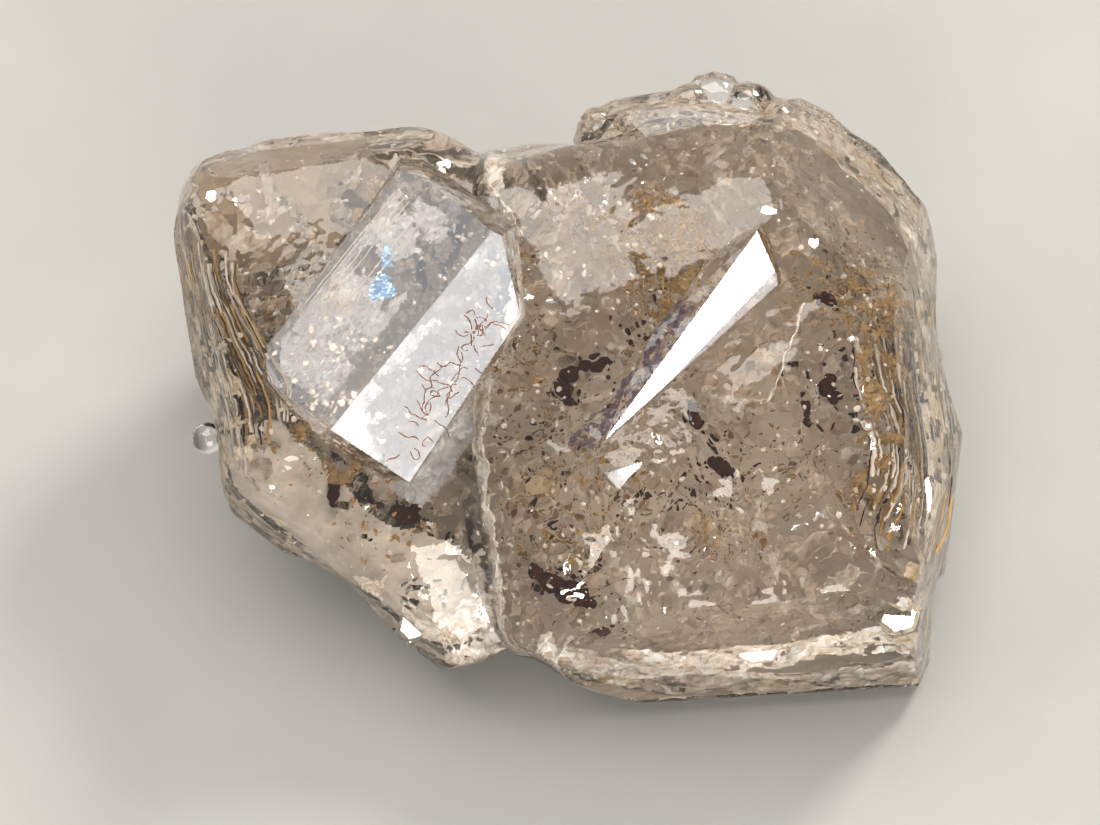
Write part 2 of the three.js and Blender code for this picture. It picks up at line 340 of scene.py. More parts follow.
# %% Directions, falls and corners of the windows
AXIS = Vector((0.6335, 0.774, 0))
ACROSS = Vector((0.774, -0.6335, 0))
AXIS_FALL = 0.1
BRIGHT_FALL = math.tan(math.radians(27))
DIM_FALL = math.tan(math.radians(33))
STEEP_FALL = math.tan(math.radians(48))
BEVEL_FALL = math.tan(math.radians(32))
STEP_FALL = math.tan(math.radians(29.6))
ROOT_DEPTH = 1.8
ROOT_FLARE = 0.45
WINDOWS = (  # a point on the ridge, its level, the fall to each side, and the corners
    ((-1.66, 3.45), 5.0, BRIGHT_FALL, DIM_FALL, [
        (-3.74, 4.84), (-3.28, 4.7), (-1.66, 3.45), (-1.46, 3.34), (-1.05, 1.58),
        (-2.21, 0.03), (-3.53, -2.13), (-5.26, -0.95), (-6.7, 0.17), (-6.72, 0.9),
    ]),
    ((-2.1, 0.2), 3.62, STEP_FALL, DIM_FALL, [
        (-2.21, 0.03), (-2.05, -1.08), (-2.69, -1.67), (-3.14, -2.43), (-3.53, -2.13),
    ]),
    ((4.21, 3.45), 4.8, BRIGHT_FALL, STEEP_FALL, [
        (4.21, 3.45), (4.44, 2.95), (4.65, 2.49), (4.67, 2.27), (1.44, -0.42), (0.8, -1.22),
        (1.9, 1.2), (3.2, 2.8),
    ]),
    ((0.84, -1.92), 4.3, BRIGHT_FALL, DIM_FALL, [
        (0.84, -1.92), (1.14, -1.86), (1.66, -1.67), (1.64, -1.97), (1.5, -2.43),
        (1.09, -2.24),
    ]),
)
print("windows:", len(WINDOWS))

# %% [markdown]
# ## Lumps and the bead
# Small crystals crowd on the ledge at the far rim, and one clear bead of quartz grew on the
# left rim. They are balls here, a little stretched, because their own faces are too small to
# be seen.

# %% Places of the lumps and the bead
LUMPS = (  # u, v, w and radius
    (3.35, 6.62, 0.7, 0.62),
    (4.1, 6.45, 0.9, 0.55),
    (2.8, 6.5, 1.0, 0.45),
    (4.75, 6.1, 0.9, 0.5),
    (0.7, 6.05, 0.9, 0.36),
)
BEAD = (-8.16, -1.15, 0.5, 0.37)
print("lumps:", len(LUMPS), "bead radius, mm:", BEAD[3])

# %% A window's corners, and a ball


def window_corners(ridge, level, bright_fall, dim_fall, corners):
    start = Vector((*ridge, 0))
    middle = sum((Vector((u, v, 0)) for u, v in corners), Vector()) / len(corners)
    points = []
    for u, v in corners:
        top = Vector((u, v, 0))
        along = top - start
        side = along.dot(ACROSS)
        fall = side * bright_fall if side > 0 else -side * dim_fall
        top.z = level - fall + along.dot(AXIS) * AXIS_FALL
        out = Vector((u, v, 0)) - middle
        out.length = ROOT_FLARE
        points += [top, top + out - Vector((0, 0, ROOT_DEPTH))]
    return points


def ball(u, v, w, radius, detail, stretch=(1, 1, 1)):
    bm = bmesh.new()
    bmesh.ops.create_icosphere(bm, subdivisions=detail, radius=radius)
    bmesh.ops.scale(bm, vec=stretch, verts=bm.verts)
    bmesh.ops.translate(bm, vec=(u, v, w), verts=bm.verts)
    return add_object("ball", mesh_from(bm))


def on_window(window, u, v):
    """The point of a window's right face that lies at u, v."""
    ridge, level, bright_fall, dim_fall, corners = window
    along = Vector((u - ridge[0], v - ridge[1], 0))
    return Vector((u, v, level - along.dot(ACROSS) * bright_fall
                   + along.dot(AXIS) * AXIS_FALL))

# %% [markdown]
# ## Joining the windows to the body
# The long narrow window on the right has three faces: its right side is cut once more by a
# plane that falls a little steeper. That plane is laid through the edge between both faces.

# %% Windows joined on
SLIVER = WINDOWS[2]
BEVEL_START, BEVEL_END = (4.45, 2.39), (2.19, 0.03)  # the edge between both right faces

for window in WINDOWS:
    piece = hull("window", window_corners(*window))
    if window is SLIVER:
        first, last = on_window(window, *BEVEL_START), on_window(window, *BEVEL_END)
        edge = (first - last).normalized()
        fall = (ACROSS - Vector((0, 0, BEVEL_FALL))).normalized()
        bevel = edge.cross(fall).normalized()
        bevel = bevel if bevel.z > 0 else -bevel
        take(piece, block_beyond(first, bevel), "DIFFERENCE")
        bevel_normal = bevel
    take(body, piece, "UNION")
print("the bevel faces:", [round(x, 2) for x in bevel_normal])

# %% [markdown]
# ## Tiny flat faces on the rims
# Here and there a very small crystal face flashes white. Each is a flat six-sided plate with
# a spreading root. A ray shot down onto the body tells how high the skin lies there.

# %% Small faces, lumps and the resting face
GLINTS = (  # u, v, the way it faces along u and v, half width and half length in mm
    (-8.0, 4.3, -0.30, 0.25, 0.14, 0.14),
    (-3.5, -5.4, -0.15, -0.38, 0.28, 0.30),
    (8.1, -2.45, 0.45, -0.05, 0.12, 0.45),
    (7.45, -5.15, 0.25, -0.30, 0.40, 0.35),
    (4.3, -6.0, 0.0, -0.35, 0.45, 0.20),
    (4.5, 3.95, 0.35, 0.66, 0.20, 0.12),
    (5.5, 3.25, 0.35, 0.66, 0.12, 0.16),
)
OWN_CARDS = 5  # the first small faces are lit by a card each, the others face the key light
PLATE_ROOT, PLATE_SPREAD = 0.5, 1.5
PLATE_RISE, PLATE_TURN = 0.03, 0.3
LUMP_STRETCH = (1.15, 0.9, 1)


def small_face(u, v, across, along, half_u, half_v):
    """A tiny crystal that stands a little out of the skin and ends in one flat face."""
    bpy.context.view_layer.update()
    level = body.ray_cast((u, v, 20), (0, 0, -1))[1].z + PLATE_RISE
    corners = []
    for k in range(6):
        turn = k * math.pi / 3 + PLATE_TURN
        du, dv = half_u * math.cos(turn), half_v * math.sin(turn)
        corners.append((u + du, v + dv, level - (du * across + dv * along)))
        corners.append((u + PLATE_SPREAD * du, v + PLATE_SPREAD * dv, level - PLATE_ROOT))
    return Vector((u, v, level)), hull("small_face", corners)


glint_spots = []
for u, v, across, along, half_u, half_v in GLINTS:
    spot, plate = small_face(u, v, across, along, half_u, half_v)
    glint_spots.append((spot, across, along))
    take(body, plate, "UNION")
for u, v, w, radius in LUMPS:
    take(body, ball(u, v, w, radius, 2, LUMP_STRETCH), "UNION")
take(body, ball(*BEAD, 2), "UNION")
down = Vector((0, -math.sin(LEAN), -math.cos(LEAN)))
take(body, block_beyond(down * REST_DEPTH, down), "DIFFERENCE")
body.data.transform(LEANING)
body.data.name = "quartz_clear"
print("faces of the whole clear body:", len(body.data.polygons))

# %% Crisp edges between flat faces, smooth shading everywhere else
CRISP = math.radians(24)


def shade(mesh):
    bm = bmesh.new()
    bm.from_mesh(mesh)
    bmesh.ops.triangulate(bm, faces=bm.faces)
    for face in bm.faces:
        face.smooth = True
    for edge in bm.edges:
        edge.smooth = len(edge.link_faces) == 2 and edge.calc_face_angle(0) < CRISP
    bm.to_mesh(mesh)
    bm.free()


shade(body.data)
print("triangles:", len(body.data.polygons))

# %% [markdown]
# ## Where the skin is rough
# Free crystal faces are mirror smooth, rounded skin is a little etched, and the underside is
# sugary. Fine lines of growth run along the left and right walls. Two numbers for each face
# tell the material about it: how etched it is, and how far it lies from the rim.

# %% Numbers for each face
SAME_WAY = 0.9996  # the dot product above which a face is part of a flat crystal face
TOP_ETCH, UNDER_ETCH, GLITTER_ETCH = 0.10, 1.00, 0.7
WINDOW_FALLS = (BRIGHT_FALL, -DIM_FALL, STEP_FALL, BEVEL_FALL, -STEEP_FALL)


def window_normals():
    return [(ACROSS * fall - AXIS * AXIS_FALL + Vector((0, 0, 1))).normalized()
            for fall in WINDOW_FALLS]


def face_numbers(mesh):
    count = len(mesh.polygons)
    centres, normals = np.empty(count * 3), np.empty(count * 3)
    mesh.polygons.foreach_get("center", centres)
    mesh.polygons.foreach_get("normal", normals)
    back = np.array(LEANING.inverted())
    centres = centres.reshape(-1, 3) @ back[:3, :3].T + back[:3, 3]
    normals = normals.reshape(-1, 3) @ np.array(TURN)
    return centres, normals


def inset(points, rim):
    """How far each point lies inside a rim curve, in mm, seen along w."""
    curve = closed_curve(rim, 240)
    gaps = points[:, None, :2] - curve[None, :, :]
    return np.sqrt((gaps ** 2).sum(axis=2).min(axis=1))


centres, normals = face_numbers(body.data)
flat = np.zeros(len(centres), bool)
small_normals = [Vector((across, along, 1)).normalized() for _, across, along in glint_spots]
for way in window_normals() + [bevel_normal] + small_normals:
    flat |= normals @ np.array(way) > SAME_WAY
body.data.polygons.foreach_set("use_smooth", ~flat)
under = np.clip((-0.1 - normals[:, 2]) / 0.4, 0, 1)
etch = np.where(flat, 0.0, TOP_ETCH + (UNDER_ETCH - TOP_ETCH) * under)
GLITTER = (2.04, -0.98, 0.75)  # u, v and radius of a patch of tiny crystals on the top
from_glitter = np.hypot(centres[:, 0] - GLITTER[0], centres[:, 1] - GLITTER[1])
on_top = (~flat) & (normals[:, 2] > 0.5)
etch += np.where(on_top & (from_glitter < GLITTER[2]), GLITTER_ETCH, 0.0)
near_left = inset(centres, LEFT_CRYSTAL["rim"])
near_right = inset(centres, RIGHT_CRYSTAL["rim"])
from_rim = np.where(centres[:, 0] < -2, near_left, near_right) + np.abs(centres[:, 2])
wall = np.clip((np.abs(centres[:, 0] - 0.1) - 6.3) / 0.8, 0, 1) * (~flat)
for name, values in (("etch", etch), ("from_rim", from_rim), ("wall", wall)):
    layer = body.data.attributes.new(name, "FLOAT", "FACE")
    layer.data.foreach_set("value", values.astype(np.float32))
print("smooth window faces:", int(flat.sum()), "of", len(flat))

# %% [markdown]
# ## Quartz as a material
# Quartz is clear and glassy: it lets light through, bends it by its index of 1.544, and here
# it has a faint smoky warmth that grows with the length of the light's way. Plain
# transmission and a plain volume absorption say just that.

# %% Colours and nodes


def rgb(hex_colour):
    parts = [int(hex_colour[i:i + 2], 16) / 255 for i in (1, 3, 5)]
    linear = [c / 12.92 if c <= 0.04045 else ((c + 0.055) / 1.055) ** 2.4 for c in parts]
    return (*linear, 1.0)


def new_material(name):
    material = bpy.data.materials.new(name)
    material.use_nodes = True
    material.node_tree.nodes.clear()
    return material, material.node_tree


def feed(tree, socket, value):
    """Links an output to a socket, or sets the socket's own value."""
    if isinstance(value, bpy.types.NodeSocket):
        tree.links.new(value, socket)
    else:
        socket.default_value = value


def node(tree, kind, settings=None, **inputs):
    """Adds a node. Settings are its own properties; inputs are values or sockets to link."""
    made = tree.nodes.new(kind)
    for key, value in (settings or {}).items():
        setattr(made, key, value)
    for key, value in inputs.items():
        feed(tree, made.inputs[key.replace("_", " ")], value)
    return made


def maths(tree, operation, *values, kind="ShaderNodeMath"):
    """A sum on numbers; with kind ShaderNodeVectorMath, a sum on vectors."""
    made = node(tree, kind, {"operation": operation})
    for socket, value in zip(made.inputs, values):
        feed(tree, socket, value)
    return made.outputs["Value" if operation == "DOT_PRODUCT" else 0]


def vectors(tree, operation, *values):
    return maths(tree, operation, *values, kind="ShaderNodeVectorMath")


def scaled(tree, place, by):
    return node(tree, "ShaderNodeVectorMath", {"operation": "SCALE"}, Vector=place,
                Scale=by).outputs[0]


def millimetres(tree):
    """Object coordinates counted in millimetres."""
    return scaled(tree, node(tree, "ShaderNodeTexCoord").outputs["Object"], 1000)


print("a mid grey, linear:", [round(c, 3) for c in rgb("#808080")[:3]])

# %% [markdown]
# ## Facets from cells
# Sugar-like crystals are many small flat faces, each tilted its own way. A Voronoi texture
# cuts space into cells and gives each one a colour; that colour serves as a tilt, and the
# height rises along the tilt from the middle of the cell. A bump node turns heights in
# millimetres into slopes.

# %% Heights that make facets, and bumps


def facets(tree, place, cells_per_mm):
    """Height in cell widths: each Voronoi cell is a small flat face tilted its own way."""
    grown = scaled(tree, place, cells_per_mm)
    cells = node(tree, "ShaderNodeTexVoronoi", Vector=grown, Scale=1.0)
    tilt = vectors(tree, "SUBTRACT", cells.outputs["Color"], (0.5, 0.5, 0.5))
    off = vectors(tree, "SUBTRACT", grown, cells.outputs["Position"])
    return vectors(tree, "DOT_PRODUCT", tilt, off)


def bumped(tree, height):
    return node(tree, "ShaderNodeBump", Strength=1.0, Distance=MM, Height=height).outputs[0]


def glass_or_stone(tree, **inputs):
    """One principled shader as the whole surface."""
    surface = node(tree, "ShaderNodeBsdfPrincipled", **inputs)
    return node(tree, "ShaderNodeOutputMaterial", Surface=surface.outputs[0])


print("helpers for materials:", facets.__name__, bumped.__name__, glass_or_stone.__name__)

# %% The quartz itself
QUARTZ_IOR = 1.544
SMOKE, SMOKE_DENSITY = (0.62, 0.44, 0.22, 1), 30.0
quartz, tree = new_material("quartz_clear")
etched, rim_way, on_wall = (
    node(tree, "ShaderNodeAttribute", {"attribute_name": name}).outputs["Fac"]
    for name in ("etch", "from_rim", "wall"))
rough = node(tree, "ShaderNodeTexNoise", Vector=millimetres(tree), Scale=2.6, Detail=1.0)
sugar = maths(tree, "MULTIPLY", maths(tree, "MULTIPLY", rough.outputs["Fac"], 0.3), etched)
lines = node(tree, "ShaderNodeTexNoise", {"noise_dimensions": "1D"}, W=rim_way, Scale=3.2,
             Detail=2.0)
ridges = maths(tree, "MULTIPLY", maths(tree, "MULTIPLY", lines.outputs["Fac"], on_wall), 0.32)
finish = glass_or_stone(tree, Base_Color=(1, 1, 1, 1), Roughness=0.02, IOR=QUARTZ_IOR,
                        Transmission_Weight=1.0,
                        Normal=bumped(tree, maths(tree, "ADD", sugar, ridges)))
depth = node(tree, "ShaderNodeVolumeAbsorption", Color=SMOKE, Density=SMOKE_DENSITY)
feed(tree, finish.inputs["Volume"], depth.outputs[0])
body.data.materials.clear()
body.data.materials.append(quartz)
print("index of refraction:", QUARTZ_IOR)

# %% [markdown]
# ## What is sealed inside
# Healed cracks leave sheets of tiny pale crystals and bubbles, iron and clay leave golden
# brown clouds, and tar breaks up into dark flecks. All are chips strewn over a carrier: a
# surface inside the stone. One Geometry Nodes tree strews them, drops every chip that would
# poke out of the stone, and gives each chip its own size, turn and shape.

# %% A class with short calls for trees
RAY_LENGTH = 0.05


class Tree:
    """A geometry node tree that is filled by short calls; underscores stand for spaces."""

    def __init__(self, name, **inputs):
        self.group = bpy.data.node_groups.new(name, "GeometryNodeTree")
        self.group.is_modifier = True
        self.sockets = {}
        for key, kind in {"Geometry": "Geometry", **inputs}.items():
            made = self.group.interface.new_socket(key.replace("_", " "), in_out="INPUT",
                                                   socket_type="NodeSocket" + kind)
            self.sockets[key] = made.identifier
        self.group.interface.new_socket("Geometry", in_out="OUTPUT",
                                        socket_type="NodeSocketGeometry")
        self.given = self.group.nodes.new("NodeGroupInput").outputs
        self.end = self.group.nodes.new("NodeGroupOutput")

    def node(self, kind, settings=None, **inputs):
        return node(self.group, kind, settings, **inputs)

    def vary(self, kind, low, high, seed):
        """A random value; number sockets and vector sockets lie at different places."""
        first, out = {"FLOAT_VECTOR": (0, 0), "FLOAT": (2, 1)}[kind]
        made = self.node("FunctionNodeRandomValue", {"data_type": kind}, Seed=seed)
        feed(self.group, made.inputs[first], low)
        feed(self.group, made.inputs[first + 1], high)
        return made.outputs[out]

    def sway(self, reach, seed):
        """A random offset of up to the given reach along each axis."""
        return self.scaled(self.vary("FLOAT_VECTOR", (-1, -1, -1), (1, 1, 1), seed), reach)

    def scaled(self, place, by):
        return scaled(self.group, place, by)

    def maths(self, operation, *values, kind="ShaderNodeMath"):
        return maths(self.group, operation, *values, kind=kind)

    def logic(self, operation, *values):
        return self.maths(operation, *values, kind="FunctionNodeBooleanMath")

    def noise(self, size, detail):
        """Noise over the positions; its swells are about as wide as the size."""
        place = self.node("GeometryNodeInputPosition").outputs[0]
        return self.node("ShaderNodeTexNoise", Vector=self.scaled(place, self.maths(
            "DIVIDE", 1.0, size)), Scale=1.0, Detail=detail)

    def moved(self, geometry, offset):
        return self.node("GeometryNodeSetPosition", Geometry=geometry, Offset=offset).outputs[0]

    def in_stone(self):
        """If a ray up meets the skin, if it meets it from within, and how near the skin is."""
        stone = self.node("GeometryNodeObjectInfo", {"transform_space": "RELATIVE"},
                          Object=self.given["Stone"]).outputs["Geometry"]
        hit = self.node("GeometryNodeRaycast", Target_Geometry=stone,
                        Ray_Direction=(0, 0, 1), Ray_Length=RAY_LENGTH)
        near = self.node("GeometryNodeProximity", {"target_element": "FACES"})
        feed(self.group, near.inputs[0], stone)
        upward = vectors(self.group, "DOT_PRODUCT", hit.outputs["Hit Normal"], (0, 0, 1))
        return hit.outputs["Is Hit"], upward, near.outputs["Distance"]

    def real(self, geometry):
        return self.node("GeometryNodeRealizeInstances", Geometry=geometry).outputs[0]

    def dress(self, geometry):
        """Sets the material, as the last step of the tree."""
        dressed = self.node("GeometryNodeSetMaterial", Geometry=geometry,
                            Material=self.given["Material"])
        self.group.links.new(dressed.outputs[0], self.end.inputs[0])
        return self


print("calls of the class Tree:", [name for name in dir(Tree) if name[0] != "_"])

# %% The tree for chips
CLUMP_EDGE = 0.12  # how far the noise climbs from bare to full
SKIN_MARGIN = 1.3  # sizes of the largest chip that have to lie between it and the skin
DENT_SIZE = 1 / 9000


def chip_tree():
    tree = Tree("strewn_chips", Stone="Object", Chips_per_mm2="Float", Smallest="Float",
                Largest="Float", Flatness="Float", Scatter="Float", Cluster_size="Float",
                Bareness="Float", Tumble="Float", Seed="Int", Material="Material")
    given = tree.given
    clumps = tree.noise(given["Cluster size"], 2.0)
    thick = tree.node("ShaderNodeMapRange", Value=clumps.outputs[0],
                      From_Min=given["Bareness"],
                      From_Max=tree.maths("ADD", given["Bareness"], CLUMP_EDGE))
    per_m2 = tree.maths("MULTIPLY", given["Chips per mm2"], 1e6)
    points = tree.node("GeometryNodeDistributePointsOnFaces", {"distribute_method": "RANDOM"},
                       Mesh=given["Geometry"], Seed=given["Seed"],
                       Density=tree.maths("MULTIPLY", thick.outputs[0], per_m2))
    moved = tree.moved(points.outputs["Points"], tree.sway(given["Scatter"], 3))
    is_hit, upward, near = tree.in_stone()
    inside = tree.logic("AND", is_hit, tree.maths("GREATER_THAN", upward, 0.0))
    far = tree.maths("GREATER_THAN", near,
                     tree.maths("MULTIPLY", given["Largest"], SKIN_MARGIN))
    kept = tree.node("GeometryNodeDeleteGeometry", {"domain": "POINT"}, Geometry=moved,
                     Selection=tree.logic("NOT", tree.logic("AND", inside, far)))
    chip = tree.node("GeometryNodeMeshIcoSphere", Radius=1.0, Subdivisions=1)
    chance = tree.vary("FLOAT", 0.0, 1.0, 7)
    growth = tree.maths("MULTIPLY",
                        tree.maths("SUBTRACT", given["Largest"], given["Smallest"]),
                        tree.maths("MULTIPLY", chance, chance))
    size = tree.maths("ADD", given["Smallest"], growth)
    shape = tree.node("ShaderNodeCombineXYZ", X=size,
                      Y=tree.maths("MULTIPLY", size, tree.vary("FLOAT", 0.5, 1.0, 9)),
                      Z=tree.maths("MULTIPLY", size, given["Flatness"]))
    turn = tree.vary("FLOAT_VECTOR", (-3.14, -3.14, -3.14), (3.14, 3.14, 3.14), 5)
    placed = tree.node("GeometryNodeInstanceOnPoints", Points=kept.outputs[0],
                       Instance=chip.outputs[0], Scale=shape.outputs[0],
                       Rotation=tree.scaled(turn, given["Tumble"]))
    dents = vectors(tree.group, "SUBTRACT", tree.noise(DENT_SIZE, 0.0).outputs["Color"],
                    (0.5, 0.5, 0.5))
    crooked = tree.moved(tree.real(placed.outputs[0]), tree.scaled(dents, given["Smallest"]))
    return tree.dress(crooked)


CHIPS = chip_tree()
print("inputs of the tree:", ", ".join(CHIPS.sockets))

# %% Strewing chips over a carrier
CLEARED = []


def grow(tree, name, carrier, material, **values):
    """A tree makes a piece of a carrier. The values are the tree's inputs."""
    thing = add_object(name, carrier)
    step = thing.modifiers.new(name, "NODES")
    step.node_group = tree.group
    for key, value in {"Material": material, **values}.items():
        step[tree.sockets[key]] = value
    mesh = apply_modifiers(thing)
    mesh.name = name
    CLEARED.append(thing)
    print(name, "has", sum(len(p.vertices) - 2 for p in mesh.polygons), "triangles")
    return mesh


def strew(name, carrier, material, Tumble=1.0, **values):
    return grow(CHIPS, name, carrier, material, Stone=body, Tumble=Tumble, **values)


print("chips are strewn by", CHIPS.group.name)

# %% Carriers: a drawn-in shell and flattened balls


def both_roundings(across, above, below):
    """Both crystals, each drawn in towards its heart."""
    bm = bmesh.new()
    for crystal in (LEFT_CRYSTAL, RIGHT_CRYSTAL):
        heart = np.array(crystal["heart"])
        rim = (closed_curve(crystal["rim"], 60) - heart) * across + heart
        mesh = crystal_mesh("rounding", rim, crystal["heart"], crystal["rim_level"],
                            crystal["above"] * above, crystal["below"] * below,
                            crystal["fullness"])
        bm.from_mesh(mesh)
        bpy.data.meshes.remove(mesh)
    return bm


def leaned(mesh):
    mesh.transform(LEANING)
    return mesh


def inner_shell(share):
    return leaned(mesh_from(both_roundings(share, share, share)))


def clouds(spots):
    """Flattened balls as a carrier: u, v, w, then the half sizes along u, v and w, turned."""
    bm = bmesh.new()
    for u, v, w, across, along, deep, turned in spots:
        shape = Matrix.Translation((u, v, w)) @ Matrix.Rotation(math.radians(turned), 4, "Z")
        shape = shape @ Matrix.Diagonal((across, along, deep, 1))
        bmesh.ops.create_icosphere(bm, subdivisions=3, radius=1, matrix=LEANING @ shape)
    return mesh_from(bm)


print("carriers for chips are ready")

# %% [markdown]
# ## Stony materials
# The sealed minerals are matt and uneven in colour. Noise mixes two shades of each. Because
# quartz lies tight around them, and not air, they hardly reflect: their index against the
# quartz is close to 1.

# %% A stony material
SEALED_IOR = 1.06  # against quartz all around it, a sealed grain hardly reflects


def mixed(tree, share, first, second):
    """A colour between two others."""
    made = node(tree, "ShaderNodeMix", {"data_type": "RGBA"}, Factor=share)
    for socket, colour in zip([i for i in made.inputs if i.type == "RGBA"], (first, second)):
        feed(tree, socket, colour)
    return [o for o in made.outputs if o.type == "RGBA"][0]


def mineral(name, dark, light, roughness, clumps_per_mm, metallic=0.0, ior=SEALED_IOR):
    """A stony material whose colour wanders between two shades."""
    material, tree = new_material(name)
    wander = node(tree, "ShaderNodeTexNoise", Vector=millimetres(tree), Scale=clumps_per_mm,
                  Detail=3.0)
    shade = mixed(tree, wander.outputs["Fac"], rgb(dark), rgb(light))
    glass_or_stone(tree, Base_Color=shade, Roughness=roughness, IOR=ior, Metallic=metallic)
    return material


pale = mineral("healed_crack_crystals", "#a8937b", "#ece3d8", 0.35, 2.0)
ochre = mineral("iron_clay", "#5f3f1b", "#cba468", 0.5, 1.5)
bitumen = mineral("tar_flecks", "#120a07", "#3a2016", 0.3, 2.0)
print("stony materials:", pale.name, ochre.name, bitumen.name)

# %% [markdown]
# ## Crystals of healed cracks, golden and brown clouds
# Tiny pale crystals follow both roundings. Iron oxide and clay gather in clouds: golden where
# they are thin and brown where they are thick. The clouds lie where the real stone has them.

# %% Pale chips and golden clouds
strew("healed_cracks", inner_shell(0.92), pale, Chips_per_mm2=20.0, Smallest=0.000015,
      Largest=0.0001, Flatness=0.45, Scatter=0.0005, Cluster_size=0.0012, Bareness=0.45, Seed=4)
OCHRE_CLOUDS = [
    (2.4, 2.7, 1.6, 0.9, 1.0, 0.7, 20),
    (1.9, 3.2, 1.9, 0.7, 0.6, 0.5, 20),
    (3.0, 2.5, 2.2, 0.6, 0.5, 0.5, 0),
    (2.3, 2.9, 2.7, 0.5, 0.6, 0.3, 0),
    (1.7, 2.3, 2.5, 0.5, 0.5, 0.3, 0),
    (-2.9, 3.9, 0.9, 0.5, 0.4, 0.5, 0),
    (1.0, -1.9, 1.4, 0.9, 0.5, 0.6, 10),
    (-0.6, 0.6, 0.9, 0.5, 0.6, 0.6, 0),
    (3.6, -3.2, 0.6, 1.2, 0.4, 0.6, 0),
    (2.9, 1.9, 1.2, 0.6, 0.8, 0.6, 0),
    (0.1, 3.6, 0.6, 0.5, 0.7, 0.6, 0),
    (5.9, 1.8, 1.3, 1.0, 0.7, 0.6, -30),
    (7.1, -1.6, 0.3, 0.35, 3.0, 0.9, 3),
    (6.5, -3.0, 0.0, 0.3, 1.6, 0.9, 8),
    (-7.9, 2.2, 0.4, 0.4, 1.5, 0.7, 6),
    (-7.2, 0.6, 0.6, 0.35, 1.4, 0.7, 12),
    (-5.9, -1.4, 1.0, 0.7, 0.5, 0.6, -30),
    (-6.0, 2.1, 0.8, 0.4, 0.8, 0.5, -10),
    (0.2, -3.2, 0.8, 0.9, 0.6, 0.7, -20),
    (-4.2, -2.8, 0.9, 0.9, 0.6, 0.6, -25),
]
strew("iron_clay_clouds", clouds(OCHRE_CLOUDS), ochre, Chips_per_mm2=64.0, Smallest=0.000015,
      Largest=0.00008, Flatness=0.4, Scatter=0.0004, Cluster_size=0.0008, Bareness=0.40, Seed=11)

# %% Brown clouds
CLAY_CLOUDS = [
    (-0.5, -1.3, 1.0, 0.9, 1.3, 0.6, 0),
    (0.7, -2.5, 0.9, 1.0, 0.8, 0.6, 20),
    (2.4, -2.9, 0.8, 1.2, 0.6, 0.6, 0),
    (2.2, 0.6, 1.2, 0.9, 1.0, 0.6, 0),
    (-0.6, 1.4, 0.9, 0.5, 0.9, 0.6, 0),
    (4.6, -1.6, 0.9, 1.1, 0.7, 0.6, 0),
    (6.0, 2.6, 1.3, 1.0, 0.5, 0.6, -30),
    (0.3, -3.8, 0.8, 1.2, 0.7, 0.6, -30),
]
clay = mineral("brown_clay", "#4b3726", "#8f7658", 0.5, 1.5)
strew("clay_clouds", clouds(CLAY_CLOUDS), clay, Chips_per_mm2=70.0, Smallest=0.00001,
      Largest=0.00008, Flatness=0.4, Scatter=0.0005, Cluster_size=0.0007, Bareness=0.44, Seed=41)

# %% [markdown]
# ## Tar flecks and mirror flakes
# Between its drops, the tar is broken up into flecks no thicker than a hair. Where a crack
# stayed open, its flat sides mirror the light and sparkle, so those chips are thin, nearly
# level and as bright as metal.

# %% Tar flecks
TAR_CLOUDS = [
    (1.25, 0.85, 2.0, 0.35, 1.7, 0.5, -38),
    (0.3, -3.9, 0.6, 1.0, 0.5, 0.5, -30),
    (0.2, 0.3, 1.2, 0.5, 0.5, 0.5, 0),
    (5.6, 0.0, 1.2, 0.5, 0.9, 0.4, 0),
    (3.3, -1.3, 1.2, 0.7, 0.6, 0.4, 0),
    (-4.9, 4.1, 0.6, 0.5, 0.5, 0.4, 0),
    (-0.4, -1.6, 1.0, 0.6, 0.9, 0.5, 0),
    (2.6, -2.2, 1.0, 1.6, 0.4, 0.4, 0),
    (6.3, 1.7, 1.4, 0.9, 0.4, 0.4, -20),
]
strew("tar_flecks", clouds(TAR_CLOUDS), bitumen, Chips_per_mm2=30.0, Smallest=0.00001,
      Largest=0.0001, Flatness=0.6, Scatter=0.0004, Cluster_size=0.0006, Bareness=0.45, Seed=23)

# %% Mirror flakes
FLAKE_CLOUDS = [
    (2.1, -1.0, 2.7, 0.7, 0.6, 0.3, 0),
    (-0.9, -3.0, 1.0, 0.6, 0.9, 0.3, 0),
    (5.8, 0.9, 1.6, 0.8, 1.0, 0.4, 0),
    (3.4, -3.6, 1.0, 2.4, 0.9, 0.4, 0),
    (-5.2, -2.4, 1.0, 0.9, 0.7, 0.4, 0),
    (4.3, -5.6, 0.8, 1.8, 0.4, 0.4, 0),
    (-2.9, -4.9, 1.2, 0.7, 0.6, 0.4, 0),
    (1.4, 4.2, 1.4, 1.8, 0.5, 0.4, 0),
    (-0.3, 1.0, 1.2, 0.6, 1.6, 0.4, 0),
    (7.0, -0.4, 1.0, 0.5, 1.8, 0.4, 0),
]
open_cracks = mineral("open_cracks", "#d2ccc4", "#ffffff", 0.15, 3.0, metallic=1.0)
strew("bright_flakes", clouds(FLAKE_CLOUDS), open_cracks, Chips_per_mm2=5.0, Smallest=0.00001,
      Largest=0.0001, Flatness=0.15, Scatter=0.0004, Cluster_size=0.0006, Bareness=0.42, Seed=52,
      Tumble=0.1)

# %% [markdown]
# ## Healed cracks as sheets
# A crack that healed is a wavy sheet of tiny crystals side by side, with gaps where the
# quartz stayed clear. A second tree takes a carrier surface, waves it, drops the gaps and all
# that would reach the skin, and gives the rest a little thickness so that it is closed.

# %% A tree that makes a wavy sheet with gaps
SAME_POINT = 0.0000005


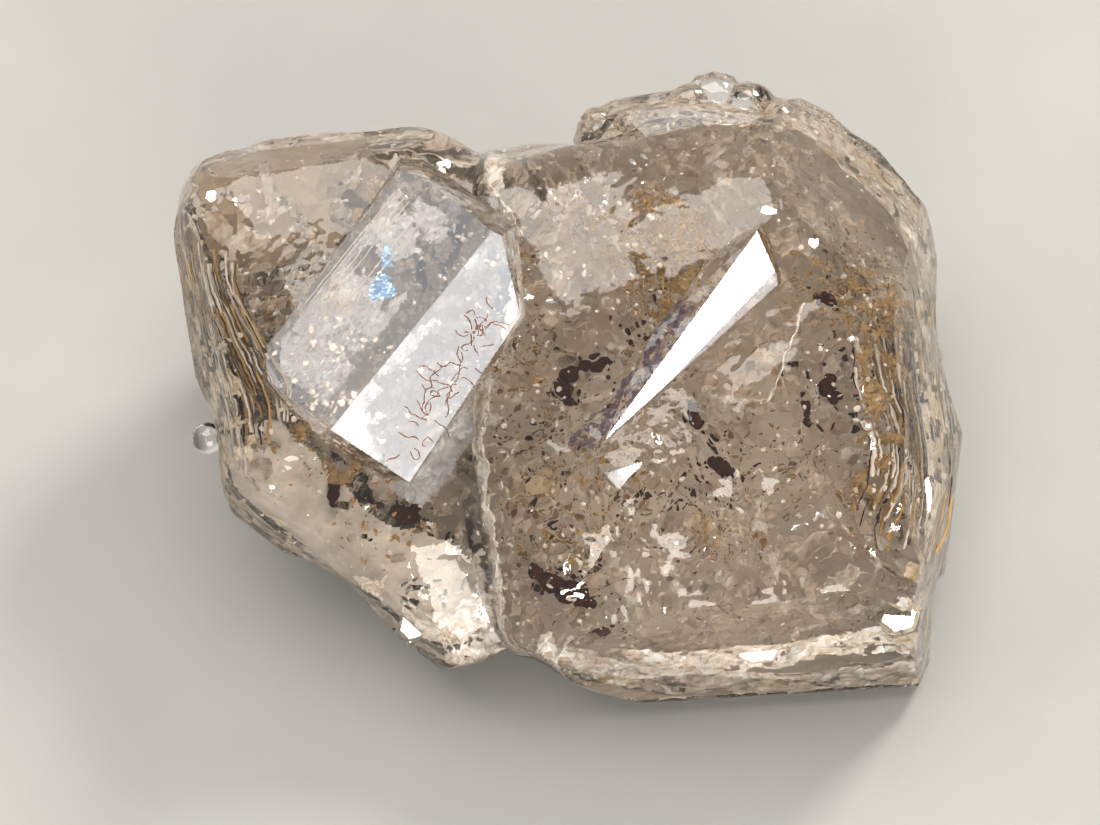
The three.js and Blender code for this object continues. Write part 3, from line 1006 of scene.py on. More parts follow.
def veil_tree():
    tree = Tree("healed_sheet", Stone="Object", Wave_height="Float", Wave_size="Float",
                Gap_size="Float", Bareness="Float", Thickness="Float", Cover="Float",
                Deepest="Float", Jitter="Float", Material="Material")
    given = tree.given
    lift = tree.maths("SUBTRACT", tree.noise(given["Wave size"], 3.0).outputs[0], 0.5)
    normal = tree.node("GeometryNodeInputNormal").outputs[0]
    rise = tree.scaled(normal, tree.maths("MULTIPLY", lift, given["Wave height"]))
    waved = tree.moved(given["Geometry"], rise)
    shaken = tree.moved(waved, tree.sway(given["Jitter"], 8))
    is_hit, upward, near = tree.in_stone()
    gap = tree.maths("LESS_THAN", tree.noise(given["Gap size"], 4.0).outputs[0],
                     given["Bareness"])
    drop = gap
    for reason in (  # any of these drops a face too
        tree.maths("LESS_THAN", upward, 0.0),
        tree.logic("NOT", is_hit),
        tree.maths("LESS_THAN", near, given["Cover"]),
        tree.maths("GREATER_THAN", near, given["Deepest"]),
    ):
        drop = tree.maths("ADD", drop, reason)
    sheet = tree.node("GeometryNodeDeleteGeometry", {"domain": "FACE"}, Geometry=shaken,
                      Selection=tree.maths("GREATER_THAN", drop, 0.5)).outputs[0]
    upper = tree.node("GeometryNodeExtrudeMesh", {"mode": "FACES"}, Mesh=sheet,
                      Offset_Scale=given["Thickness"], Individual=False)
    lower = tree.node("GeometryNodeFlipFaces", Mesh=sheet)
    both = tree.node("GeometryNodeJoinGeometry")
    tree.group.links.new(upper.outputs["Mesh"], both.inputs[0])
    tree.group.links.new(lower.outputs[0], both.inputs[0])
    closed = tree.node("GeometryNodeMergeByDistance", Geometry=both.outputs[0],
                       Distance=SAME_POINT)
    return tree.dress(tree.real(closed.outputs[0]))


VEILS = veil_tree()
print("inputs of the tree:", ", ".join(VEILS.sockets))

# %% Sheets that stay off the floor
SHEET_THICKNESS = 0.00002
LOW_BAND = 0.00006
DEEPEST_DIP = 0.00006
LEAST_GAP = 0.00001


def lift_off_the_floor(mesh):
    """Points that dip under the face the stone rests on are pressed into a band above it."""
    for point in mesh.vertices:
        if point.co.z < LOW_BAND:
            share = (point.co.z + DEEPEST_DIP) / (LOW_BAND + DEEPEST_DIP)
            point.co.z = LEAST_GAP + share * (LOW_BAND - LEAST_GAP)


def heal(name, carrier, material, Deepest=0.01, **values):
    mesh = grow(VEILS, name, carrier, material, Stone=body, Deepest=Deepest,
                Thickness=SHEET_THICKNESS, **values)
    lift_off_the_floor(mesh)
    mesh.update()


print("sheets are made by", VEILS.group.name)

# %% Colours by value


def ramp(tree, factor, stops):
    """Colours by value: stops are pairs of a place from 0 to 1 and a hex colour."""
    made = node(tree, "ShaderNodeValToRGB", Fac=factor)
    ends = made.color_ramp.elements
    while len(ends) < len(stops):
        ends.new(0.5)
    for end, (at, colour) in zip(ends, stops):
        end.position = at
        end.color = rgb(colour)
    return made.outputs["Color"]


print("a ramp takes stops and gives a colour:", ramp.__name__)

# %% [markdown]
# ## Crystal sugar
# A healed crack looks like a crust of sugar. Voronoi cells of two sizes give each crystal its
# own shade, slow noise picks the places that iron has stained, and some light may pass, so
# that the sheet below still shows.

# %% The sugar material


def sugar_material(name, stops, stain_stops, clear=0.0):
    """Crystals of 0.1 to 0.3 mm side by side, each in its own shade, stained in places."""
    material, tree = new_material(name)
    place = millimetres(tree)
    bend = node(tree, "ShaderNodeTexNoise", Vector=place, Scale=3.5, Detail=0.0)
    bent = vectors(tree, "ADD", place, scaled(tree, bend.outputs["Color"], 0.35))

    def shades(cells_per_mm, share):
        cells = node(tree, "ShaderNodeTexVoronoi", Vector=bent, Scale=cells_per_mm)
        pick = node(tree, "ShaderNodeSeparateColor", Color=cells.outputs["Color"])
        return maths(tree, "MULTIPLY", pick.outputs[0], share)

    shade = maths(tree, "ADD", shades(3.2, 0.55), shades(7.5, 0.45))
    clumps = node(tree, "ShaderNodeTexNoise", Vector=place, Scale=0.55, Detail=3.0)
    stained = node(tree, "ShaderNodeMapRange", Value=clumps.outputs["Fac"], From_Min=0.57,
                   From_Max=0.72)
    height = maths(tree, "MULTIPLY", facets(tree, place, 4.2), 0.2)
    glass_or_stone(tree, Roughness=0.35, IOR=1.2, Transmission_Weight=clear,
                   Normal=bumped(tree, height),
                   Base_Color=mixed(tree, stained.outputs[0], ramp(tree, shade, stops),
                                    ramp(tree, shade, stain_stops)))
    return material


sugar_veil = sugar_material(
    "healed_crack_sugar",
    ((0.0, "#a08a74"), (0.14, "#bba893"), (0.38, "#cbb9a6"), (0.70, "#dacbba"), (0.93, "#f6efe6")),
    ((0.0, "#5f4529"), (0.25, "#a98553"), (0.5, "#c2a473"), (0.75, "#d0b994"), (0.95, "#f0e4cd")),
    clear=0.3,
)

# %% Growth layers stained by iron


def streaked_material(name, stops):
    """Growth layers stained by iron: thin bands that run level round the wall."""
    material, tree = new_material(name)
    turned = node(tree, "ShaderNodeMapping", Vector=millimetres(tree),
                  Rotation=(-LEAN, 0, 0), Scale=(0.35, 0.35, 2.6))
    bands = node(tree, "ShaderNodeTexNoise", Vector=turned.outputs[0], Scale=1.0, Detail=5.0,
                 Roughness=0.65)
    height = maths(tree, "MULTIPLY", facets(tree, millimetres(tree), 4.0), 0.14)
    glass_or_stone(tree, Roughness=0.3, Normal=bumped(tree, height),
                   Base_Color=ramp(tree, bands.outputs["Fac"], stops))
    return material


streaked = streaked_material("stained_growth_layers", (
    (0.30, "#6f5636"), (0.40, "#a58b64"), (0.47, "#bfae95"), (0.53, "#cdbfad"),
    (0.58, "#ab936c"), (0.63, "#c2b29c"), (0.72, "#846a49")))
print("materials:", sugar_veil.name, streaked.name)

# %% Carriers for the sheets
SHEET_HALF_SIZES = (9, 7.2)


def lower_shell(across, below, above, top=0.6):
    """Carrier under the stone's middle: both roundings drawn in, the upper part flatter."""
    bm = both_roundings(across, above, below)
    high = [f for f in bm.faces if f.calc_center_median().z > top]
    bmesh.ops.delete(bm, geom=high, context="FACES")
    return leaned(mesh_from(bm))


def level_sheet(level, step=0.08):
    """A flat carrier that lies in the drawing plane at one level."""
    bm = bmesh.new()
    half_u, half_v = SHEET_HALF_SIZES
    bmesh.ops.create_grid(bm, x_segments=int(2 * half_u / step),
                          y_segments=int(2 * half_v / step), size=1,
                          matrix=Matrix.Translation((0, 0, level)) @ Matrix.Diagonal(
                              (half_u, half_v, 1, 1)))
    return leaned(mesh_from(bm))


def trimmed(mesh, spare):
    """A carrier without its spare faces, told from their middles as points on the drawing."""
    bm = bmesh.new()
    bm.from_mesh(mesh)
    back = LEANING.inverted()
    faces = list(bm.faces)
    middles = [back @ face.calc_center_median() for face in faces]
    gone = [face for face, drop in zip(faces, spare(middles)) if drop]
    bmesh.ops.delete(bm, geom=gone, context="FACES")
    return mesh_from(bm)


print("carriers for sheets are ready")

# %% [markdown]
# ## Sheets at three depths
# One sheet runs through the middle, one follows the stone's underside, and below both lies a
# smooth pale haze that closes the view. A real stone is milky in its depth, although its skin
# is clear, because of countless tiny cracks and bubbles; the haze stands in for them.

# %% The middle and the deep sheet
thin_sugar = sugar_material(
    "healed_crack_thin_sugar",
    ((0.0, "#9a846e"), (0.12, "#b8a48f"), (0.38, "#c9b6a3"), (0.70, "#d8c8b7"), (0.95, "#f6efe5")),
    ((0.0, "#5f4529"), (0.25, "#a98553"), (0.5, "#cdae7c"), (0.75, "#dcc5a0"), (0.95, "#f0e4cd")),
    clear=0.55,
)
heal("middle_sugar", level_sheet(0.9), thin_sugar, Wave_height=0.0024, Wave_size=0.0016,
     Gap_size=0.0004, Bareness=0.495, Jitter=0.00004, Cover=0.0008)
heal("deep_sugar", lower_shell(0.90, 0.93, 0.3), sugar_veil, Wave_height=0.0007, Wave_size=0.0011,
     Gap_size=0.0005, Bareness=0.45, Deepest=0.0019, Jitter=0.00004, Cover=0.0001)

# %% The haze
haze = mineral("deep_haze", "#ab9276", "#fff6ea", 0.6, 0.8)
heal("deep_haze", lower_shell(0.86, 0.87, 0.5), haze, Wave_height=0.0006, Wave_size=0.0011,
     Gap_size=0.0012, Bareness=0.0, Deepest=0.0026, Jitter=0.0, Cover=0.00005)


def low_sheet(height, step=0.12):
    """A flat carrier that lies level, a little above the face that the stone rests on."""
    mesh = level_sheet(0, step)
    mesh.transform(Matrix.Scale(MM, 4) @ Matrix.Translation((0, 0, height)) @ LEANING.inverted())
    return mesh


heal("low_haze", low_sheet(0.5), haze, Wave_height=0.0006, Wave_size=0.0011, Gap_size=0.0012,
     Bareness=0.0, Jitter=0.0, Cover=0.0001)

# %% [markdown]
# ## Layers along the side walls
# Near the left and right walls the growth layers are stained, and their edges show as golden
# and pale streaks. Their carrier is the drawn-in shell, cut off with a ragged edge.

# %% Stained layers along the walls


def side_walls(across):
    """The part of a drawn-in shell that hugs the left and right walls, with a ragged edge."""
    def spare(middles):
        return [middle.z < -2.6
                or abs(middle.x - 0.1) < 6.9 + 1.6 * noise.noise(middle * 1.3)
                or middle.y > (2.6 if middle.x < 0 else 2.0)
                for middle in middles]

    return trimmed(lower_shell(across, 0.9, 0.5, top=1.4), spare)


heal("wall_layers", side_walls(0.93), streaked, Wave_height=0.0004, Wave_size=0.0011,
     Gap_size=0.0005, Bareness=0.50, Deepest=0.0013, Jitter=0.00002, Cover=0.0001)

# %% [markdown]
# ## The seam
# Where both crystals met, a pale uneven sheet stands upright between them. Its carrier is a
# path on the drawing, pulled down into the stone.

# %% A standing carrier, and the seam


def upright_sheet(path, low, high, lean, step=0.1):
    """A carrier that stands on a path of u, v points and leans as it goes down."""
    path = np.array(path, float)
    run = np.concatenate([[0], np.cumsum(np.linalg.norm(np.diff(path, axis=0), axis=1))])
    along = np.linspace(0, run[-1], int(run[-1] / step))
    points = np.stack([np.interp(along, run, path[:, k]) for k in (0, 1)], axis=1)
    rows = np.linspace(low, high, int((high - low) / step))
    bm = bmesh.new()
    grid = [[bm.verts.new((u + lean * (high - w), v, w)) for u, v in points] for w in rows]
    for lower, upper in zip(grid, grid[1:]):
        for i in range(len(points) - 1):
            bm.faces.new((lower[i], lower[i + 1], upper[i + 1], upper[i]))
    return leaned(mesh_from(bm))


SEAM = [(-2.21, 5.41), (-1.18, 3.36), (-1.5, 1.0), (-1.98, -1.2), (-1.64, -3.93),
        (-1.53, -5.75), (-0.96, -6.09)]
# This palest sugar makes the real seam; further down it is also painted as glow.
seam_and_glow_sugar = sugar_material(
    "seam_and_glow_sugar",
    ((0.0, "#b39c85"), (0.2, "#dccab7"), (0.5, "#ede1d3"), (0.75, "#f6efe5"), (0.95, "#ffffff")),
    ((0.0, "#a98f70"), (0.3, "#d8c3a2"), (0.6, "#e9dac0"), (0.8, "#f0e6d4"), (0.95, "#fbf6ec")),
)
heal("seam_sheet", upright_sheet(SEAM, -1.5, 3.6, 0.12), seam_and_glow_sugar, Wave_height=0.0006,
     Wave_size=0.0009, Gap_size=0.0006, Bareness=0.42, Jitter=0.00004, Cover=0.00012)

# %% [markdown]
# ## Under the left window
# Below the dim face hangs a milky veil, and at its lower left a patch of peach coloured
# bubbles. The veil's carrier is a level sheet cut to an outline. A point lies inside an
# outline if a line from it to the right crosses the outline an odd number of times.

# %% The veil under the window
WINDOW_VEIL = [(-3.6, 4.3), (-1.9, 3.4), (-3.4, 1.5), (-4.8, -0.3), (-5.1, -0.6),
               (-6.3, 0.3), (-6.3, 0.9)]
milky = sugar_material(
    "milky_crack",
    ((0.0, "#a49c98"), (0.15, "#b9b2ae"), (0.4, "#c6c0bc"), (0.70, "#cfcac7"), (0.93, "#efecea")),
    ((0.0, "#b39c86"), (0.25, "#d3c0ae"), (0.5, "#e2d2c3"), (0.75, "#eee3d8"), (0.95, "#fbf6f0")),
    clear=0.35,
)


def inside_outline(points, outline):
    """Which points lie inside a closed outline, by counting the edges crossed to the right."""
    within = np.zeros(len(points), bool)
    for (u0, v0), (u1, v1) in zip(outline, outline[1:] + outline[:1]):
        spans = (v0 > points[:, 1]) != (v1 > points[:, 1])
        cross = u0 + (points[:, 1] - v0) * (u1 - u0) / ((v1 - v0) or 1e-9)
        within ^= spans & (points[:, 0] < cross)
    return within


def patch_sheet(outline, level, step=0.07):
    """A flat carrier in the drawing plane that fills one outline."""
    return trimmed(level_sheet(level, step),
                   lambda middles: ~inside_outline(np.array(middles)[:, :2], outline))


heal("window_veil", patch_sheet(WINDOW_VEIL, 2.3), milky, Wave_height=0.0006, Wave_size=0.0009,
     Gap_size=0.0009, Bareness=0.45, Jitter=0.00003, Cover=0.0002)

# %% More veils: beside the window and at the left crystal's two ends
STEP_VEIL = [(-2.3, 0.1), (-1.9, -1.0), (-2.6, -1.9), (-3.3, -2.7), (-4.0, -2.3), (-2.9, -0.9)]
heal("step_veil", patch_sheet(STEP_VEIL, 2.5), milky, Wave_height=0.0006, Wave_size=0.0009,
     Gap_size=0.0006, Bareness=0.3, Jitter=0.00003, Cover=0.0002)
UPPER_LEFT = [(-8.0, 4.6), (-7.0, 5.3), (-4.6, 5.4), (-4.2, 4.4), (-5.4, 2.9), (-6.9, 2.6),
              (-7.9, 3.2)]
smoky = mineral("smoky_haze", "#6f5c49", "#a99680", 0.6, 0.8)
heal("upper_left_haze", patch_sheet(UPPER_LEFT, 0.7), smoky, Wave_height=0.0006, Wave_size=0.0011,
     Gap_size=0.0012, Bareness=0.0, Jitter=0.0, Cover=0.0001)
LOWER_LEFT = [(-7.6, -1.0), (-7.3, -2.3), (-6.0, -3.6), (-4.6, -4.6), (-3.2, -5.6), (-2.3, -5.4),
              (-2.2, -3.6), (-3.9, -3.0), (-5.0, -2.0), (-6.4, -0.7)]
pale_smoke = mineral("pale_smoke", "#827568", "#d6cabc", 0.6, 1.6)
heal("lower_left_haze", patch_sheet(LOWER_LEFT, 1.1), pale_smoke, Wave_height=0.0009,
     Wave_size=0.0013, Gap_size=0.0008, Bareness=0.35, Jitter=0.0, Cover=0.0002)

# %% Wisps of golden clay
WISPS = {
    "centre_wisps": (2.4, [(0.4, 3.6), (2.0, 4.1), (3.3, 3.5), (3.2, 2.1), (2.3, 1.3), (1.3, 2.1)]),
    "right_wisps": (2.1, [(5.8, 2.6), (7.2, 2.2), (7.4, 0.2), (7.2, -2.4), (6.3, -2.8),
                          (6.4, 0.0), (5.9, 1.2)]),
    "window_wisps": (1.9, [(-5.1, 4.4), (-4.2, 4.8), (-3.6, 4.0), (-4.5, 3.2)]),
    "lower_wisps": (1.7, [(-6.4, -0.9), (-5.3, -0.6), (-4.3, -1.7), (-4.4, -2.4), (-5.5, -2.0)]),
}
golden = mineral("golden_clay", "#5c4630", "#a8895c", 0.6, 2.5)
for name, (level, outline) in WISPS.items():
    heal(name, patch_sheet(outline, level, 0.06), golden, Wave_height=0.0016, Wave_size=0.0008,
         Gap_size=0.0004, Bareness=0.53, Jitter=0.00004, Cover=0.0002)

# %% Bubbles under the window
BUBBLES = [(-5.6, 0.2, 2.5, 0.75, 0.8, 0.2, 20), (-5.0, -0.5, 2.5, 0.7, 0.5, 0.2, -20),
           (-4.6, 0.9, 2.6, 0.5, 0.5, 0.2, 0)]
peach = mineral("peach_bubbles", "#d9bda3", "#fff6ec", 0.3, 2.5)
strew("window_bubbles", clouds(BUBBLES), peach, Chips_per_mm2=22.0, Smallest=0.00002,
      Largest=0.00013, Flatness=0.4, Scatter=0.0003, Cluster_size=0.0008, Bareness=0.36, Seed=17)

# %% [markdown]
# ## Pale veils painted as glow at the foot and the front
# The left crystal's foot and the front edge are the palest parts. Light that passes through the
# stone gathers there, and pale veils close under the skin are painted as that glow. Beside the
# long narrow window hangs a dark film, painted as the shade along its steep left side.

# %% Painted glow at the foot and the front, and the painted shade film
# Painted glow: the palest sugar where light through the stone gathers at the left foot.
FOOT = [(-4.6, -4.0), (-3.6, -4.1), (-2.9, -3.3), (-2.2, -3.9), (-1.6, -3.5), (-1.2, -6.4),
        (-3.1, -6.6), (-4.9, -5.0)]
heal("foot_veil", patch_sheet(FOOT, 1.1), seam_and_glow_sugar, Wave_height=0.0016, Wave_size=0.0009,
     Gap_size=0.0004, Bareness=0.38, Jitter=0.00003, Cover=0.0002)
# Painted glow along the front floor of the right crystal.
FRONT_FLOOR = [(-0.8, -5.0), (2.0, -5.5), (5.0, -5.3), (7.9, -4.6), (8.1, -6.3), (5.3, -6.8),
               (2.2, -6.7), (0.2, -6.1)]
heal("front_floor_veil", patch_sheet(FRONT_FLOOR, 0.9), seam_and_glow_sugar, Wave_height=0.0014,
     Wave_size=0.0012, Gap_size=0.0006, Bareness=0.4, Jitter=0.00003, Cover=0.0002)
# A standing sheet of the palest sugar, painted as the glow along the front edge.
FRONT = [(0.2, -5.7), (1.2, -6.1), (2.4, -6.35), (5.3, -6.45), (7.9, -6.2)]
heal("front_veil", upright_sheet(FRONT, -3.2, 1.9, 0.0), seam_and_glow_sugar, Wave_height=0.0006,
     Wave_size=0.0009, Gap_size=0.0006, Bareness=0.30, Jitter=0.00003, Cover=0.0001)
# Painted shade: a dark purple-grey film along the steep left side of the long narrow window.
SHADE_FILM_PATH = [(3.1, 1.75), (2.71, 1.26), (1.45, -0.57), (0.75, -1.35)]
heal("tar_film", upright_sheet(SHADE_FILM_PATH, 2.2, 4.3, -0.3, 0.06),
     mineral("tar_film", "#3a2b2d", "#97858a", 0.3, 5.0), Wave_height=0.0005, Wave_size=0.0005,
     Gap_size=0.0003, Bareness=0.50, Jitter=0.00004, Cover=0.0001)

# %% [markdown]
# ## Growth lines
# Along both side walls the crystal grew in thin layers, and their edges show as long fine
# lines that follow the rim. A third tree turns paths into thin threads: it curves and shakes
# each path a little, then sweeps a small ring along it.

# %% A tree that sweeps threads along paths


def thread_tree():
    tree = Tree("thread", Thickness="Float", Shake="Float", Shake_size="Float", Step="Float",
                Material="Material")
    given = tree.given
    curve = tree.node("GeometryNodeMeshToCurve", Mesh=given["Geometry"])
    even = tree.node("GeometryNodeResampleCurve", {"mode": "LENGTH"}, Curve=curve.outputs[0],
                     Length=given["Step"])
    wander = tree.noise(given["Shake size"], 2.0)
    centred = vectors(tree.group, "SUBTRACT", wander.outputs["Color"], (0.5, 0.5, 0.5))
    shaken = tree.moved(even.outputs[0], tree.scaled(centred, given["Shake"]))
    ring = tree.node("GeometryNodeCurvePrimitiveCircle", Resolution=5,
                     Radius=given["Thickness"])
    swept = tree.node("GeometryNodeCurveToMesh", Curve=shaken,
                      Profile_Curve=ring.outputs[0], Fill_Caps=True)
    return tree.dress(tree.real(swept.outputs[0]))


THREADS = thread_tree()
print("inputs of the tree:", ", ".join(THREADS.sockets))

# %% Paths and threads


def paths_mesh(paths):
    """Each path is a row of u, v, w points."""
    points, edges = [], []
    for path in paths:
        first = len(points)
        points += [tuple(p) for p in path]
        edges += [(first + i, first + i + 1) for i in range(len(path) - 1)]
    mesh = bpy.data.meshes.new("carrier")
    mesh.from_pydata(points, edges, [])
    return leaned(mesh)


def thread(name, carrier, material, **values):
    return grow(THREADS, name, carrier, material, **values)


print("threads are swept by", THREADS.group.name)

# %% Lines that follow the rim
LEAST_IN, SLOPE_IN = 0.35, 0.7


def rim_lines(crystal, low_v, high_v, side, count, deepest, seed):
    """Stretches of the rim curve, drawn in by different amounts at different levels."""
    rng = np.random.default_rng(seed)
    rim = closed_curve(crystal["rim"], 400)
    heart = np.array(crystal["heart"])
    stretch = rim[(rim[:, 1] > low_v) & (rim[:, 1] < high_v) & (rim[:, 0] * side > 5)]
    stretch = stretch[np.argsort(stretch[:, 1])]
    paths = []
    for _ in range(count):
        span = rng.uniform(0.12, 0.5)
        start = rng.uniform(0, 1 - span)
        part = stretch[int(start * len(stretch)):int((start + span) * len(stretch))]
        if len(part) < 4:
            continue
        inward = heart - part
        inward /= np.linalg.norm(inward, axis=1)[:, None]
        drawn_in = rng.uniform(LEAST_IN, deepest)
        level = crystal["rim_level"] + rng.uniform(-0.3, 0.8) + SLOPE_IN * (drawn_in - LEAST_IN)
        paths.append(np.column_stack([part + inward * drawn_in, np.full(len(part), level)]))
    return paths


right_lines = rim_lines(RIGHT_CRYSTAL, -5.0, 3.0, 1, 170, 2.6, 3)
left_lines = rim_lines(LEFT_CRYSTAL, -2.0, 4.3, -1, 150, 2.2, 5)
lines = right_lines + left_lines
thread("pale_growth_lines", paths_mesh(lines[0::3]), pale, Thickness=0.00003, Shake=0.00012,
       Shake_size=0.0006, Step=0.00012)
thread("stained_growth_lines", paths_mesh(lines[1::3]), ochre, Thickness=0.00003, Shake=0.00014,
       Shake_size=0.0006, Step=0.00012)
thread("dark_growth_lines", paths_mesh(lines[2::3]), bitumen, Thickness=0.000014, Shake=0.00014,
       Shake_size=0.0006, Step=0.00012)

# %% The needle-like crack
NEEDLE = [(5.27, 1.79, 2.6), (5.1, 1.2, 2.6), (4.87, 0.56, 2.6), (4.62, 0.1, 2.6),
          (4.42, -0.38, 2.6)]
thread("needle_crack", paths_mesh([NEEDLE]), pale, Thickness=0.00003, Shake=0.00025,
       Shake_size=0.0002, Step=0.0001)

# %% [markdown]
# ## Fine cracks at the left window
# Short jagged cracks net the right face of the left window, and a few straight growth lines
# run along its left edge. The cracks come up to the face and the lines lie just under it, so
# their level is worked out from the face.

# %% Fine cracks in the window faces and lines under them
CRACK_SPREAD, CRACK_STRIDE, CRACK_BEND = 0.16, 0.09, 0.7
EDGE_CORNER, EDGE_LENGTH, LINE_DEPTH = Vector((-3.9, 4.45, 0)), 3.4, 0.09


def face_level(side_fall, u, v):
    """The level of the left window's faces; a positive side fall is the right face."""
    (ridge_u, ridge_v), level = WINDOWS[0][:2]
    along = Vector((u - ridge_u, v - ridge_v, 0))
    return level - along.dot(ACROSS) * side_fall + along.dot(AXIS) * AXIS_FALL


def crackle(start, end, fall, count, seed):
    """Short jagged walks that start along a line and stay in a window face."""
    rng = np.random.default_rng(seed)
    paths = []
    for _ in range(count):
        t = rng.uniform()
        place = np.array(start) * (1 - t) + np.array(end) * t + rng.normal(0, CRACK_SPREAD, 2)
        way = rng.uniform(0, 2 * math.pi)
        path = []
        for _ in range(rng.integers(4, 9)):
            path.append((place[0], place[1], face_level(fall, *place)))
            way += rng.normal(0, CRACK_BEND)
            place = place + CRACK_STRIDE * np.array([math.cos(way), math.sin(way)])
        paths.append(path)
    return paths


cracks = crackle((-1.7, 1.75), (-2.8, -0.2), BRIGHT_FALL, 30, 2)
cracks += crackle((-2.8, 0.0), (-3.7, -1.5), BRIGHT_FALL, 16, 6)
crack_dark = mineral("crack_edges", "#4a2f2a", "#8c6c62", 0.5, 3.0)
thread("window_cracks", paths_mesh(cracks), crack_dark, Thickness=0.000014, Shake=0.00006,
       Shake_size=0.0001, Step=0.00006)
edge_lines = []
for shift in (0.12, 0.2, 0.36, 0.5, 0.85, 1.0):
    corner = EDGE_CORNER + ACROSS * shift
    far = corner - AXIS * (EDGE_LENGTH - shift)
    spots = [corner.lerp(far, t).to_2d() for t in np.linspace(0, 1, 12)]
    edge_lines.append([(*spot, face_level(-DIM_FALL, *spot) - LINE_DEPTH) for spot in spots])
thread("window_growth_lines", paths_mesh(edge_lines), pale, Thickness=0.000016, Shake=0.00008,
       Shake_size=0.0006, Step=0.0001)

# %% [markdown]
# ## A crack that shows colours
# Where a crack holds a film of gas or oil thinner than a hair, light that bounces from both
# its sides mixes into blue and green. A few flat flakes under the left window stand for such a
# crack: they are metallic and coloured blue to pale cyan.

# %% Blue flakes under the window
SPARK = [(-4.10, 2.20, 3.55, 0.20, 0.26, 0.04, -32), (-3.98, 2.85, 3.6, 0.10, 0.26, 0.04, 4),
         (-3.9, 2.05, 3.5, 0.16, 0.12, 0.04, 0)]
iridescent = mineral("thin_film_crack", "#4fa2ff", "#e2ffff", 0.3, 5.0, metallic=1.0)
strew("blue_flakes", clouds(SPARK), iridescent, Chips_per_mm2=420.0, Smallest=0.00004,
      Largest=0.0001, Flatness=0.2, Scatter=0.00006, Cluster_size=0.0003, Bareness=0.30, Seed=31,
      Tumble=0.07)

# %% [markdown]
# ## Tar
# Tar is thick old oil that was trapped in drops while the quartz closed over them. It is
# nearly black, reddish brown where it is thin, and its skin has a dull gloss. The drops are
# solids of the part itself, so here they only get their material.

# %% The tar drops
tar = mineral("tar", "#180804", "#43200f", 0.22, 3.0)
for name, thing in frame["nodes"].items():
    if name.startswith("tar"):
        thing.data.materials.clear()
        thing.data.materials.append(tar)
        print(name, "is tar")

# %% [markdown]
# ## The floor
# The stone lies on one wide sheet of matt pale card. Such card is never quite even, so its
# grey wanders a little. The sheet belongs to the stage and not to the stone, and it lies a
# hair below the stone's flat underside, so that the two faces do not fight.

# %% A sheet of pale card
bm = bmesh.new()
bmesh.ops.create_grid(bm, x_segments=1, y_segments=1, size=0.6)
bmesh.ops.translate(bm, vec=(0, 0, -0.00002), verts=bm.verts)
floor = add_object("floor", mesh_from(bm, "floor"))
floor.data.materials.append(mineral("pale_card", "#7c7b78", "#8a8986", 0.9, 0.15, ior=1.45))
print("floor size, m:", [round(x, 2) for x in floor.dimensions])

# %% [markdown]
# ## The camera
# The camera looks straight down on the drawing plane from 180 mm away, as a close-up lens
# does. Its focal length follows from that distance and from how many picture points one
# millimetre of the stone takes up.

# %% A camera square to the drawing plane
PIXELS_PER_MM = 43.9
CAMERA_DISTANCE = 180
SENSOR_WIDTH = 36
MIDDLE_PIXEL = (567, 387.5)
FRAME_SIZE = (1100, 825)
aim_u = (FRAME_SIZE[0] / 2 - MIDDLE_PIXEL[0]) / PIXELS_PER_MM
aim_v = (MIDDLE_PIXEL[1] - FRAME_SIZE[1] / 2) / PIXELS_PER_MM
camera_data = bpy.data.cameras.new("camera")
camera = bpy.data.objects.new("camera", camera_data)
bpy.context.scene.collection.objects.link(camera)
camera.matrix_world = Matrix.Translation(in_place(aim_u, aim_v, CAMERA_DISTANCE)) @ TURN.to_4x4()
camera_data.sensor_width = SENSOR_WIDTH
camera_data.lens = SENSOR_WIDTH * CAMERA_DISTANCE * PIXELS_PER_MM / FRAME_SIZE[0]
camera_data.clip_start = 0.001
bpy.context.scene.camera = camera
print("focal length, mm:", round(camera_data.lens, 1))

# %% [markdown]
# ## Light
# Clear stone shows little of its own: the eye sees light that comes through it and light that
# its faces mirror. A light's power is worked out from the brightness that its face should
# have, so that soft boxes of any size can be compared.

# %% Room light and soft boxes
POWER_PER_RADIANCE = 4
world = bpy.data.worlds.new("studio")
bpy.context.scene.world = world
world.use_nodes = True
background = world.node_tree.nodes["Background"]
background.inputs["Color"].default_value = (1, 0.97, 0.94, 1)
background.inputs["Strength"].default_value = 0.6


def soft_box(name, towards, distance, size, radiance, colour=(1, 1, 1)):
    """A square light that looks at the stone; its power grows with its area."""
    light = bpy.data.lights.new(name, "AREA")
    light.shape = "SQUARE"
    light.size = size
    light.energy = POWER_PER_RADIANCE * radiance * size * size
    light.color = colour
    thing = bpy.data.objects.new(name, light)
    bpy.context.scene.collection.objects.link(thing)
    aim = in_place(0, 0, 2)
    towards = Vector(towards).normalized()
    thing.location = aim + towards * distance
    thing.rotation_euler = towards.to_track_quat("Z", "Y").to_euler()
    thing.visible_camera = False
    return thing


soft_box("front_fill", (0.2, -0.9, 0.30), 0.4, 0.25, 7.0, (1, 0.94, 0.86))
soft_box("key", (0.55, 0.75, 0.8), 0.35, 0.08, 60, (1, 0.95, 0.88))
soft_box("overhead", (-0.15, 0.25, 1.0), 0.5, 0.5, 4.2, (1, 0.965, 0.92))
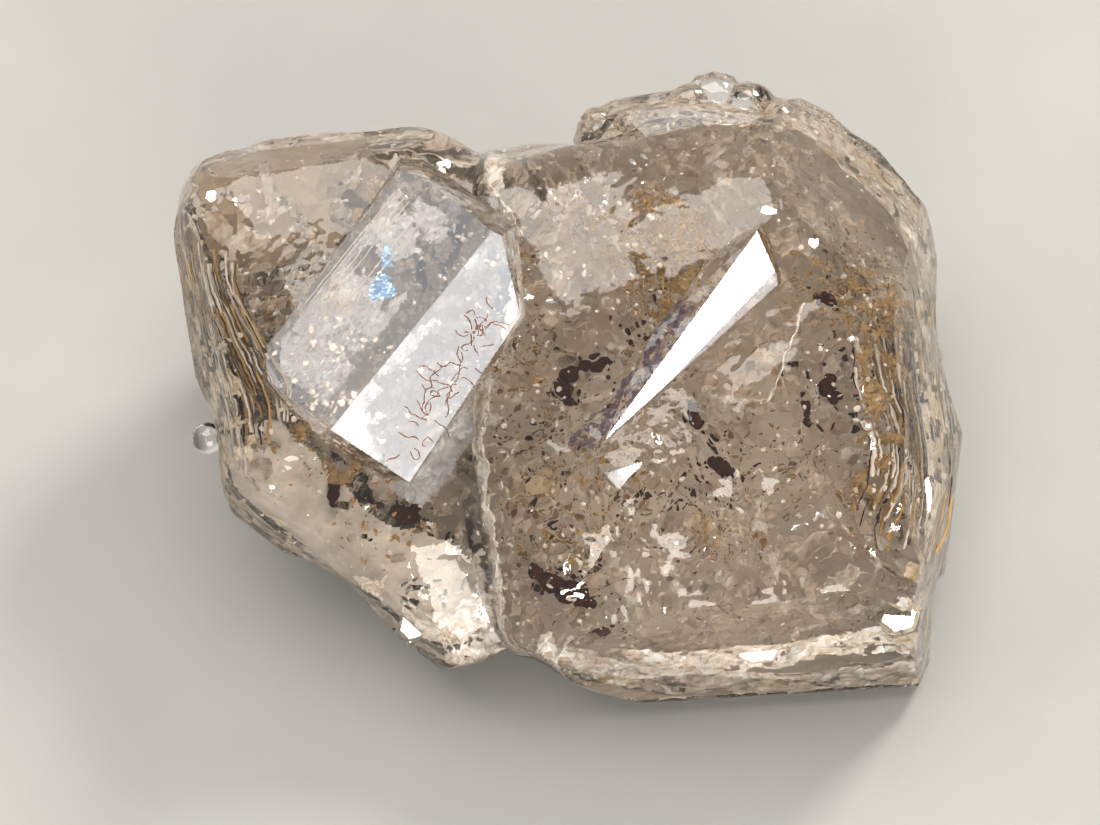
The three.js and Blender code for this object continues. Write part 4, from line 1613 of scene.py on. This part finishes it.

# %% [markdown]
# ## Cards for the flat faces
# A flat mirror face looks white only if something bright stands where it sends the eye's
# look. That direction is the look, turned back about the face's normal, so a small card is
# put there for the main window faces and for the first few of the tiny faces on the rims.

# %% One card for each of these mirror faces


def card(name, u, v, w, across, along, distance, size, radiance, colour=(1, 1, 1)):
    """A card that the camera sees mirrored in one window face, whose falls are given."""
    normal = TURN @ (ACROSS * across + AXIS * along + Vector((0, 0, 1))).normalized()
    spot = in_place(u, v, w)
    look = (spot - in_place(aim_u, aim_v, CAMERA_DISTANCE)).normalized()
    away = look - 2 * look.dot(normal) * normal
    thing = soft_box(name, away, distance, size, radiance, colour)
    thing.location = spot + away * distance
    print(name, "stands at, mm:", [round(1000 * x) for x in thing.location])
    return thing


COOL = (0.92, 0.96, 1.0)
card("bright_window_card", -2.6, 1.0, 4.3, BRIGHT_FALL, -AXIS_FALL, 0.15, 0.024, 9.6, COOL)
card("bright_sliver_card", 3.3, 1.3, 4.1, BRIGHT_FALL, -AXIS_FALL, 0.15, 0.012, 26)
card("dim_window_card", -4.6, 1.5, 3.8, -DIM_FALL, -AXIS_FALL, 0.2, 0.05, 3.4, COOL)
bevel_falls = bevel_normal / bevel_normal.z
card("bevel_card", 3.9, 1.2, 3.6, bevel_falls.dot(ACROSS), bevel_falls.dot(AXIS), 0.13, 0.02, 7,
     COOL)
for number, (spot, across, along) in enumerate(glint_spots[:OWN_CARDS]):
    fall = Vector((across, along, 0))
    card(f"glint_card_{number}", *spot, fall.dot(ACROSS), fall.dot(AXIS), 0.12, 0.008, 28,
         (1, 0.97, 0.92))

# %% [markdown]
# ## How far light is followed
# Light crosses the skin, several thin sheets and the skin again, so a handful of bounces is
# needed, and more would only cost time. The plain view transform keeps the stone's pale warm
# colours as they are.

# %% Bounces and view transform
bpy.context.scene.view_settings.view_transform = "Standard"
cycles = bpy.context.scene.cycles
cycles.adaptive_threshold = 0.06
cycles.max_bounces = 6
cycles.transmission_bounces = 6
cycles.transparent_max_bounces = 8
cycles.glossy_bounces = 4
cycles.diffuse_bounces = 2
print("bounces:", cycles.max_bounces)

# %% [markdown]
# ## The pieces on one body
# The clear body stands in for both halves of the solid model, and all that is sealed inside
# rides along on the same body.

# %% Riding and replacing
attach(body, "root")
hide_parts("quartz_lower", "quartz_upper")
for thing in CLEARED:
    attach(thing, "root")
